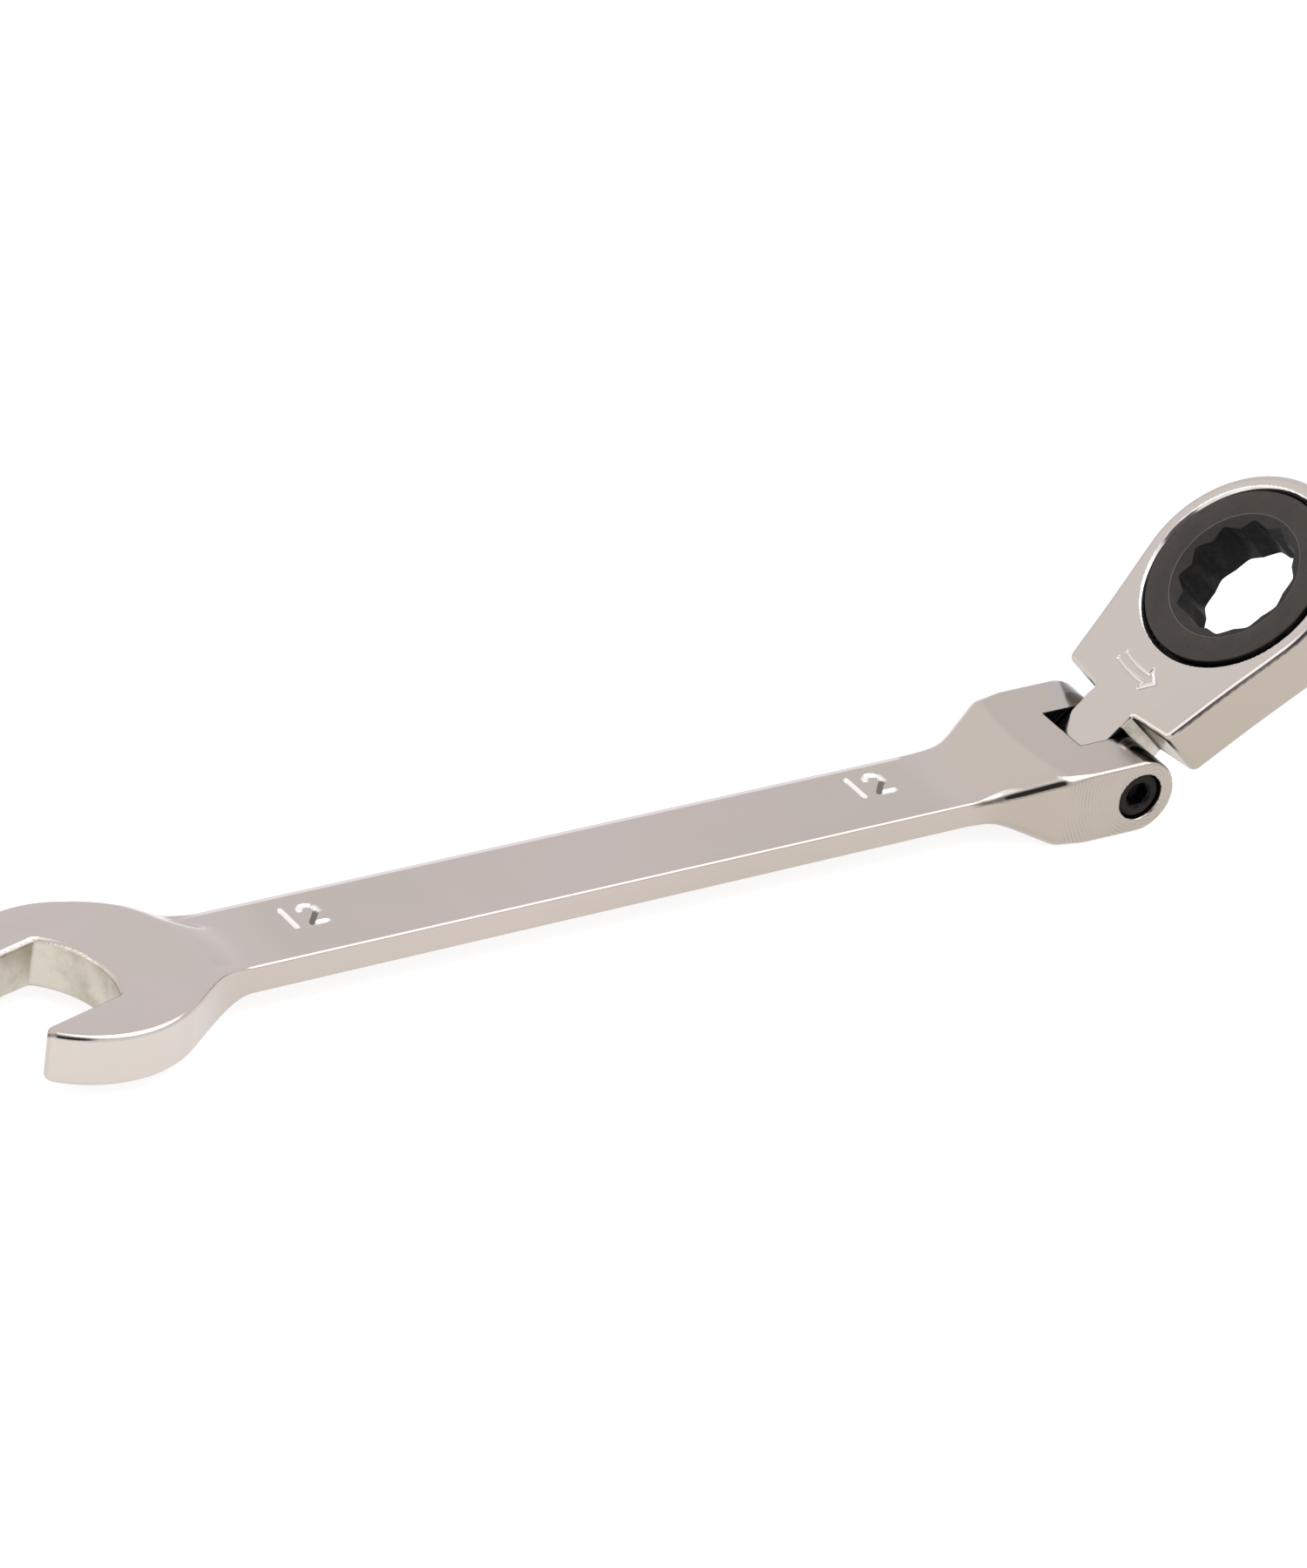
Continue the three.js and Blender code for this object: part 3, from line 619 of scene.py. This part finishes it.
def oxide_material(name, dark, light, gloss):
    """Black-oxide steel with a mottled grain; the mask deep marks broached and hidden walls for painted
    shade, and the edge mask a painted highlight.
    """
    n = Nodes(name)
    mottle = n.noise(420, 5, 0.65)
    grain = n.noise(1600, 3)
    deep, painted_edge_highlight = n.attribute("deep"), n.attribute("painted_edge_highlight")
    colour = n.mix(n.ramp(mottle, 0.35, 0.65, 0, 1), dark, light)
    # Painted shade for the deep walls: near black with a mottle.
    broach = n.ramp(n.noise(500, 5, 0.7), 0.5, 0.72, 0, 1)
    deep_colour = n.mix(broach, (0.002, 0.002, 0.002, 1), (0.018, 0.015, 0.012, 1))
    # Painted highlight on the socket's edge.
    colour = n.mix(painted_edge_highlight, colour, (0.085, 0.074, 0.069, 1))
    n.set("Base Color", n.mix(deep, colour, deep_colour))
    n.set("Metallic", 0.0)
    n.set("Specular IOR Level", n.ramp(deep, 0, 1, gloss, 0.10))
    n.set("Roughness", n.ramp(grain, 0.3, 0.7, 0.5, 0.62))
    n.set("Normal", n.bump(n.math("ADD", mottle, n.math("MULTIPLY", grain, 0.6)), 0.3, 0.00005))
    return n.material


def spring_material():
    n = Nodes("spring_steel")
    grain = n.noise(2500, 3)
    n.set("Base Color", n.mix(grain, (0.42, 0.41, 0.40, 1), (0.55, 0.54, 0.52, 1)))
    n.set("Metallic", 1.0)
    n.set("Roughness", n.ramp(grain, 0.3, 0.7, 0.24, 0.36))
    n.set("Normal", n.bump(grain, 0.2, 0.00002))
    return n.material


chrome = chrome_material()
gear_steel = oxide_material("dark_steel", (0.024, 0.018, 0.013, 1), (0.033, 0.025, 0.019, 1), 0.33)
screw_steel = oxide_material("black_steel", (0.007, 0.005, 0.004, 1), (0.014, 0.010, 0.008, 1), 0.18)
spring_steel = spring_material()

# ---------------------------------------------------------------- chromed shells

# Functions named body_ or head_ and then a mask's name give that mask's share, from 0 to 1, at points in
# millimetres about the hinge axis. Functions with other names are parts of those.

MARK_STROKE = (0.26, 0.4)
DARK_TONGUE_END = (3.75, 3.9)


def mark_stroke(x, y, mark):
    """The cut of one size mark."""
    return 1 - smoothstep(digits_12(x, y, *mark), *MARK_STROKE)


def mark_slope(x, y, mark):
    """The slanting stroke of a mark's 2."""
    left, base, size = mark
    cx, r = left + size * 0.8, size * 0.27
    high, low = (cx + r * 0.75, base + size * 0.56), (cx - r * 0.8, base + 0.25)
    return 1 - smoothstep(segment(x, y, high, low), 0.28, 0.4)


def edge_line(side, top, radius):
    """The middle of a rounded edge, from the distances to its two faces."""
    return window((top - side) / radius, -0.55, -0.3, 0.1, 0.35)


def body_raw(x, y, z):
    """The jaw's inner walls are left unpolished."""
    near = np.abs(jaw_opening(x, y)) < 0.12
    return (near & (x < -100) & (np.abs(z) < JAW_HALF - 0.2)).astype(float)


def body_grind(x, y, z):
    """The sides of the fork are milled."""
    return smoothstep(np.abs(y), FORK_HALF_WIDTH - 0.25, FORK_HALF_WIDTH - 0.1) * smoothstep(x, -12, -8)


def body_cool(x, y, z):
    """Painted reflection: a cooler tint on the rounded ends of the ears, to a curved boundary on the fork's
    faces, and half as much on the fork's sides.
    """
    edge = -2.7 + 0.16 * np.maximum(np.abs(y) - SLOT_HALF, 0) ** 1.5
    nose = smoothstep(x, edge - 0.12, edge + 0.12) * (np.abs(y) < FORK_HALF_WIDTH - 0.3)
    return np.maximum(nose, 0.5 * body_grind(x, y, z))


def body_shade(x, y, z):
    """Painted shade: the ramp beside the jaw, the shank, the fork's faces and the sides, and the outer round
    of the far top edge.
    """
    from_side = np.abs(y) - half_width(x)
    top = (np.abs(z) > half_thickness(x) - 0.1) & (from_side < -0.4)
    ramp = 0.3 * window(jaw_reach(x, y), 12.6, 13.6, 14.8, 16.2) * (1 - smoothstep(y, 3, 4.5))
    fork = smoothstep(dished(x, y), -9.4, -8.6)
    shank = 0.25 * smoothstep(x, -104, -98) + 0.15 * smoothstep(x, -60, -30)
    shank = shank * (1 - smoothstep(x, -24, -18))
    flare = 0.9 * smoothstep(x, -22, -14) - 0.15 * smoothstep(x, -12, -8)
    side = np.maximum(flare, 0.25 * smoothstep(x, -90, -40)) * smoothstep(from_side, -0.4, -0.1)
    far_side = 0.9 * smoothstep(y - half_width(x), -0.4, -0.25) * smoothstep(x, -108, -104)
    return np.where(top, np.maximum.reduce([shank, ramp, 0.62 * fork]), np.maximum(side, far_side))


def body_bright(x, y, z):
    """Painted highlights: the cut of the size marks, apart from the slope of each 2, the rims a little, and
    a pale line along the shank's far top edge.
    """
    cut = np.maximum.reduce([mark_stroke(x, y, m) * (1 - mark_slope(x, y, m)) for m in MARKS])
    rim = smoothstep(jaw_reach(x, y), JAW_RADIUS - 0.4, JAW_RADIUS - 0.1)
    rim = 0.2 * rim * (1 - smoothstep(x, -118, -112)) * (np.abs(z) < JAW_HALF - 0.3)
    far_edge = 0.6 * window(y - half_width(x), -0.95, -0.75, -0.5, -0.35)
    far_edge = far_edge * smoothstep(x, -108, -104) * (x < -21) * (z > 0.6)
    return np.maximum.reduce([cut * (z > 0), rim, far_edge])


def slot_wall(x, y, z):
    """The walls of the fork's slot, where no light gets in."""
    walls = (np.abs(y) < SLOT_HALF + 0.1) & (x > SLOT_END - 0.1) & (x < 8)
    return np.where(walls, 1 - smoothstep(np.hypot(x, z), 3.7, 4.1) * (x > 0), 0.0)


def nose_reflection(x, y, z):
    """Painted dark reflection on the tops of the ears' noses, from a slanting line on."""
    line = -1.3 + 0.42 * (np.abs(y) - SLOT_HALF)
    on_nose = (np.hypot(x, z) > FORK_HALF - 0.1) * (np.abs(y) < FORK_HALF_WIDTH - 0.5)
    return 0.78 * smoothstep(x, line, line + 0.35) * on_nose * smoothstep(z, 1.2, 2.2)


def near_edges(x, y, z):
    """Painted dark reflections along the near edges of the fork's swell and the near prong."""
    fork = edge_line(np.abs(y) - half_width(x), z - half_thickness(dished(x, y)), SWELL_EDGE)
    fork = 0.7 * fork * window(x, -19.5, -17.5, -10, -9)
    prong = edge_line(jaw_reach(x, y) - JAW_RADIUS, z - JAW_HALF, JAW_EDGE)
    prong = 0.8 * prong * (1 - smoothstep(x, -128, -125.5))
    return np.maximum(fork, prong) * (y < 0)


def body_dark(x, y, z):
    """Painted shade in the slot and on the slope of each size mark's 2, and painted dark reflections on the
    ears' noses and along the near edges.
    """
    cut = np.maximum.reduce([0.75 * mark_stroke(x, y, m) * mark_slope(x, y, m) for m in MARKS])
    return np.maximum.reduce([slot_wall(x, y, z), nose_reflection(x, y, z), near_edges(x, y, z), cut * (z > 0)])


def tongue_side(y):
    """The two side faces of the tongue."""
    return smoothstep(np.abs(y), TONGUE_HALF - 0.12, TONGUE_HALF - 0.04)


def head_raw(x, y, z):
    """The sides of the tongue's root are left unpolished."""
    low = smoothstep(x, *DARK_TONGUE_END)
    root = low * (1 - smoothstep(x, SHOULDER_ROOT_X + 0.1, SHOULDER_ROOT_X + 0.6))
    return root * tongue_side(y) * (np.abs(z) < HEAD_HALF - 0.2)


def head_cool(x, y, z):
    """A painted reflection tint on the upper face of the head."""
    return 0.35 * smoothstep(z, HEAD_HALF - 0.4, HEAD_HALF - 0.2)


def head_shade(x, y, z):
    """Painted shade on the walls between the head's two faces."""
    return 0.9 * (1 - smoothstep(np.abs(z), HEAD_HALF - 0.5, HEAD_HALF - 0.3))


def head_bright(x, y, z):
    """Painted highlights on the chamfer round the gear and the cut of the arrow, brighter than the face."""
    from_ring = np.hypot(x - RING_CENTRE, y)
    chamfer = 0.6 * (1 - smoothstep(from_ring, LIP_RADIUS + 0.36, LIP_RADIUS + 0.48))
    arrow = 0.38 * (1 - smoothstep(arrow_distance(x, y), ARROW_HALF * 0.4, ARROW_HALF))
    return np.maximum(chamfer, arrow) * (z > HEAD_HALF - 0.5)


def head_dark(x, y, z):
    """Darker low on the tongue and between its root and the shoulder, and a painted dark reflection along
    the near top edge.
    """
    dark_tongue = tongue_side(y) * (1 - smoothstep(x, *DARK_TONGUE_END))
    face = SHOULDER_ROOT_X + (np.abs(y) - TONGUE_HALF) * 0.0855
    hidden = window(x - face, -0.3, -0.15, 0.12, 0.3) * (1 - smoothstep(np.abs(y), 3.9, 5.6))
    hidden = hidden * (np.abs(y) > TONGUE_ROOT_HALF + 0.05) * (np.abs(z) < HEAD_HALF - 0.25)
    line = 0.78 * window(HEAD_HALF - z, 0.2, 0.3, 0.4, 0.46) * smoothstep(x, 7, 8)
    line = line * (y < 0) * (np.hypot(x - RING_CENTRE, y) > LIP_RADIUS + 1)
    return np.maximum.reduce([dark_tongue, 0.9 * hidden, line])


def nothing(x, y, z):
    """The head has no milled sides."""
    return np.zeros_like(x)


body_lines = (
    spaced((-134.5, 0.27), (-104, 0.6), (-98.4, 0.14), (-93.6, 0.8), (-30.4, 0.14), (-25.6, 0.6),
           (-20.5, 0.27), (4.6, 0)),
    spaced((-14.2, 0.25), (-6, 0.18), (-1.6, 0.15), (3.0, 0.18), (6, 0.25), (12.2, 0)),
    spaced((-4.6, 0.17), (4.6, 0)),
)
body = net_object(
    "wrench_shell", surface_net(body_field, *body_lines), BODY_FRAME, chrome,
    dict(zip(MASKS, (body_raw, body_grind, body_cool, body_shade, body_bright, body_dark))),
)
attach(body, "body")
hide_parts("wrench_body")

head_lines = (
    spaced((-4, 0.22), (8, 0.16), (11, 0.24), (36.8, 0)),
    spaced((-13.2, 0.24), (-3.4, 0.17), (4.4, 0.24), (13.2, 0)),
    spaced((-3.9, 0.16), (3.9, 0)),
)
head = net_object(
    "ring_housing", surface_net(head_field, *head_lines), HEAD_FRAME, chrome,
    dict(zip(MASKS, (head_raw, nothing, head_cool, head_shade, head_bright, head_dark))),
)
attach(head, "head")
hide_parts("ring_head")

# ---------------------------------------------------------------- gear, screw, clip and spring


def profile_rings(count, profile):
    """Rings of points about Z: profile(angle) gives the (radius, height) list at each angle."""
    angles = np.arange(count) * 2 * math.pi / count
    rows = []
    for a in angles:
        rows.append([(r * math.cos(a), r * math.sin(a), z) for r, z in profile(a)])
    return np.array(rows)


def socket_radius(angle):
    """Radius of the 12-point socket, with the points rounded."""
    from_tip = abs((angle - SOCKET_PHASE + math.radians(15)) % math.radians(30) - math.radians(15))
    flat = SOCKET_FLATS / 2 / math.cos(math.radians(30) - from_tip)
    cap, soft = 6.9, 0.05
    return -soft * math.log(math.exp(-flat / soft) + math.exp(-cap / soft))


def tooth_radius(angle):
    share = abs((angle * GEAR_TEETH / (2 * math.pi) + 0.5) % 1 - 0.5)
    rise = min(max((0.36 - share) / 0.26, 0), 1)
    return GEAR_ROOT_RADIUS + (GEAR_TIP_RADIUS - GEAR_ROOT_RADIUS) * rise


def gear_profile(angle):
    socket, tooth = socket_radius(angle), tooth_radius(angle)
    cut = (SOCKET_MOUTH - socket) * 0.55
    edge = 0.16
    return [
        (SOCKET_MOUTH + 0.08, GEAR_TOP), (GEAR_FACE_RADIUS - edge, GEAR_TOP),
        (GEAR_FACE_RADIUS - edge * 0.3, GEAR_TOP - edge * 0.3), (GEAR_FACE_RADIUS, GEAR_TOP - edge),
        (GEAR_FACE_RADIUS, 2.2), (tooth, 2.2), (tooth, -2.05), (GEAR_HUB_RADIUS, -2.05),
        (GEAR_HUB_RADIUS, GEAR_BOTTOM + edge), (GEAR_HUB_RADIUS - edge * 0.3, GEAR_BOTTOM + edge * 0.3),
        (GEAR_HUB_RADIUS - edge, GEAR_BOTTOM), (SOCKET_MOUTH + 0.08, GEAR_BOTTOM),
        (SOCKET_MOUTH, GEAR_BOTTOM + 0.04), (socket + 0.03, GEAR_BOTTOM + cut),
        (socket, GEAR_BOTTOM + cut + 0.05),
        (socket, GEAR_TOP - cut - 0.05), (socket + 0.03, GEAR_TOP - cut), (SOCKET_MOUTH, GEAR_TOP - 0.04),
    ]


def gear_depth(centres, normals):
    """Painted shade: the broached socket and the gear's outer wall are darker than its faces, and the
    socket's chamfer a little.
    """
    radius = np.hypot(centres[:, 0], centres[:, 1])
    upright = np.abs(normals[:, 2]) < 0.3
    chamfer = (radius < SOCKET_MOUTH - 0.01) & (np.abs(normals[:, 2]) < 0.97)
    return np.where(upright & ((radius < 7.05) | (radius > 10)), 1, 0.34 * chamfer)


def gear_edge(centres, normals):
    """Painted highlight on the edge between the gear's face and the socket's mouth."""
    radius = np.hypot(centres[:, 0], centres[:, 1])
    return (np.abs(radius - SOCKET_MOUTH - 0.04) < 0.05) & (centres[:, 2] > 0)


gear = turned_object("socket_gear", profile_rings(1440, gear_profile), RING_FRAME, gear_steel)
face_mask(gear, RING_FRAME, "deep", gear_depth)
face_mask(gear, RING_FRAME, "painted_edge_highlight", gear_edge)
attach(gear, "gear")
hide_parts("ratchet_gear")

SCREW_FACE = -FORK_HALF_WIDTH + 0.5


def screw_profile(angle):
    from_flat = (angle % math.radians(60)) - math.radians(30)
    hexagon = SCREW_HEX / 2 / math.cos(from_flat)
    head, shaft, thread = SCREW_HEAD_RADIUS, SCREW_SHAFT_RADIUS, SCREW_THREAD_RADIUS
    tip = FORK_HALF_WIDTH - 1.1
    return [
        (0, SCREW_FACE + 2.2), (hexagon * 0.98, SCREW_FACE + 1.8), (hexagon, SCREW_FACE + 1.7),
        (hexagon, SCREW_FACE + 0.3), (SCREW_HEX * 0.64, SCREW_FACE), (head - 0.32, SCREW_FACE),
        (head - 0.08, SCREW_FACE + 0.1), (head, SCREW_FACE + 0.32), (head, SCREW_SEAT - 0.1),
        (shaft, SCREW_SEAT - 0.1), (shaft, SLOT_HALF - 0.4), (thread, SLOT_HALF - 0.15),
        (thread, tip - 0.3), (thread - 0.3, tip), (0, tip),
    ]


SCREW_PLACE = BODY_FRAME @ Matrix.Rotation(-math.pi / 2, 4, "X")


# Painted shade: the hex socket and the screw's upright walls go dark.
def screw_depth(centres, normals):
    radius = np.hypot(centres[:, 0], centres[:, 1])
    tilt = np.abs(normals[:, 2])
    return (radius < SCREW_HEX / 2 * 1.16) & (tilt < 0.9) | (tilt < 0.3)


screw = turned_object("hinge_screw", profile_rings(96, screw_profile), SCREW_PLACE, screw_steel)
face_mask(screw, SCREW_PLACE, "deep", screw_depth)
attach(screw, "body")
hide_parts("pivot_screw")


def swept_object(name, path, section, place, material):
    """A tube with flat ends: section holds (side, up) offsets, path holds points and their two side axes."""
    rows = [[p + side * s + up * u for s, u in section] for p, side, up in path]
    length = len(section)
    points = [q for row in rows for q in row]
    faces = [list(range(length))[::-1], [(len(rows) - 1) * length + j for j in range(length)]]
    for i, j in product(range(len(rows) - 1), range(length)):
        here, after, j2 = i * length, (i + 1) * length, (j + 1) % length
        faces.append((here + j, after + j, after + j2, here + j2))
    obj = new_object(name, points, faces, place, material)
    clean(obj, 40)
    return obj


CLIP_INNER, CLIP_OUTER, CLIP_GAP = 10.45, 11.75, math.radians(28)
clip_middle, clip_half = (CLIP_INNER + CLIP_OUTER) / 2, (CLIP_OUTER - CLIP_INNER) / 2
clip_height, clip_thick = (GROOVE[0] + GROOVE[1]) / 2, (GROOVE[1] - GROOVE[0]) / 2 - 0.1
clip_end = math.pi - CLIP_GAP / 2
clip_path = []
for a in np.linspace(-clip_end, clip_end, 181):
    out = np.array([math.cos(a), math.sin(a), 0])
    clip_path.append((out * clip_middle + np.array([0, 0, clip_height]), out, np.array([0, 0, 1.0])))
e = 0.08
clip_section = [
    (clip_half - e, -clip_thick), (clip_half, -clip_thick + e), (clip_half, clip_thick - e),
    (clip_half - e, clip_thick), (e - clip_half, clip_thick), (-clip_half, clip_thick - e),
    (-clip_half, e - clip_thick), (e - clip_half, -clip_thick),
]
clip = swept_object("snap_ring", clip_path, clip_section, RING_FRAME, spring_steel)
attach(clip, "head")
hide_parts("retaining_ring")

SPRING_TURNS, SPRING_COIL, SPRING_WIRE = 5, 0.88, 0.17
SPRING_START, SPRING_LENGTH = 6.82, 2.66
spring_path = []
for t in np.linspace(0, 1, 181):
    a = 2 * math.pi * SPRING_TURNS * t
    along = SPRING_LENGTH * (0.75 * t + 0.25 * t * t * (3 - 2 * t))
    out = np.array([0, math.cos(a), math.sin(a)])
    middle = np.array([SPRING_START + along, 0, 0])
    spring_path.append((middle + out * SPRING_COIL, out, np.array([1.0, 0, 0])))
spring_section = []
for b in np.linspace(0, 2 * math.pi, 10, endpoint=False):
    spring_section.append((SPRING_WIRE * math.cos(b), SPRING_WIRE * math.sin(b)))
spring = swept_object("pawl_coil", spring_path, spring_section, HEAD_FRAME, spring_steel)
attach(spring, "head")
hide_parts("pawl_spring")

pawl = frame["nodes"]["pawl"]
pawl.data.materials.clear()
pawl.data.materials.append(gear_steel)

# ---------------------------------------------------------------- floor, light and camera


def studio_floor():
    """A lit white table, so that hardly any shadow shows."""
    bpy.ops.mesh.primitive_plane_add(size=6, location=(0, 0, 0))
    floor = bpy.context.object
    floor.name = "floor"
    n = Nodes("paper_floor")
    n.set("Base Color", n.mix(n.noise(30, 2), (0.25, 0.25, 0.25, 1), (0.27, 0.27, 0.27, 1)))
    n.set("Roughness", 0.9)
    n.set("Specular IOR Level", 0.0)
    n.set("Emission Color", (1, 1, 1, 1))
    n.set("Emission Strength", 0.83)
    floor.data.materials.append(n.material)


def studio_sky():
    """Soft grey surroundings with bright panels, and a dark card round the camera."""
    world = bpy.data.worlds.new("studio")
    bpy.context.scene.world = world
    world.use_nodes = True
    tree = world.node_tree
    coords = tree.nodes.new("ShaderNodeTexCoord").outputs["Generated"]
    unit = tree.nodes.new("ShaderNodeVectorMath")
    unit.operation = "NORMALIZE"
    tree.links.new(coords, unit.inputs[0])
    colour = None
    for direction, inner, outer, value in SKY_PANELS:
        dot = tree.nodes.new("ShaderNodeVectorMath")
        dot.operation = "DOT_PRODUCT"
        dot.inputs[1].default_value = Vector(direction).normalized()
        tree.links.new(unit.outputs[0], dot.inputs[0])
        share = tree.nodes.new("ShaderNodeMapRange")
        share.interpolation_type = "SMOOTHSTEP"
        share.inputs["From Min"].default_value = math.cos(math.radians(outer))
        share.inputs["From Max"].default_value = math.cos(math.radians(inner))
        tree.links.new(dot.outputs["Value"], share.inputs["Value"])
        mix = tree.nodes.new("ShaderNodeMix")
        mix.data_type = "RGBA"
        tree.links.new(share.outputs["Result"], mix.inputs[0])
        if colour is None:
            mix.inputs[6].default_value = SKY_BASE
        else:
            tree.links.new(colour, mix.inputs[6])
        mix.inputs[7].default_value = (value, value, value, 1)
        colour = mix.outputs[2]
    tree.links.new(colour, tree.nodes["Background"].inputs["Color"])


SKY_BASE = (1.03, 1.03, 1.08, 1)
SKY_PANELS = [
    ((-0.55, 0.66, 0.51), 8, 22, 1.16),
    ((0.02, 0.69, 0.72), 6, 24, 1.06),
    ((0.42, -0.18, 0.89), 20, 32, 2.8),
    ((-0.84, -0.02, 0.54), 14, 25, 2.0),
    ((-0.92, 0.42, 0.12), 16, 26, 1.9),
    ((-0.47, -0.67, 0.57), 16, 20, 0.12),
]


def soft_light(name, place, size, watts):
    data = bpy.data.lights.new(name, "AREA")
    data.shape = "SQUARE"
    data.size = size
    data.energy = watts
    lamp = bpy.data.objects.new(name, data)
    lamp.location = place
    lamp.rotation_euler = (-Vector(place)).to_track_quat("-Z", "Y").to_euler()
    bpy.context.scene.collection.objects.link(lamp)


def add_camera():
    """A long lens, looking down along the shank from the near side, with a slight roll."""
    azimuth, elevation, roll = (math.radians(v) for v in (-36.37, 30.51, 7.91))
    distance, right_shift, up_shift = 0.96198, 0.045593, 0.003015
    level = math.cos(elevation)
    back = Vector((math.sin(azimuth) * level, -math.cos(azimuth) * level, math.sin(elevation)))
    right = Vector((math.cos(azimuth), math.sin(azimuth), 0))
    up = back.cross(right)
    right, up = (
        right * math.cos(roll) + up * math.sin(roll),
        up * math.cos(roll) - right * math.sin(roll),
    )
    place = HINGE + back * distance - right * right_shift - up * up_shift
    turn = Matrix((right, up, back)).transposed().to_4x4()
    data = bpy.data.cameras.new("camera")
    data.lens = 212.0
    data.sensor_width = 36
    data.clip_start, data.clip_end = 0.05, 20
    camera = bpy.data.objects.new("camera", data)
    camera.matrix_world = Matrix.Translation(place) @ turn
    bpy.context.scene.collection.objects.link(camera)
    bpy.context.scene.camera = camera


studio_floor()
studio_sky()
soft_light("overhead", (0.15, -0.1, 0.9), 0.9, 1.5)
add_camera()
bpy.context.scene.view_settings.view_transform = "Standard"
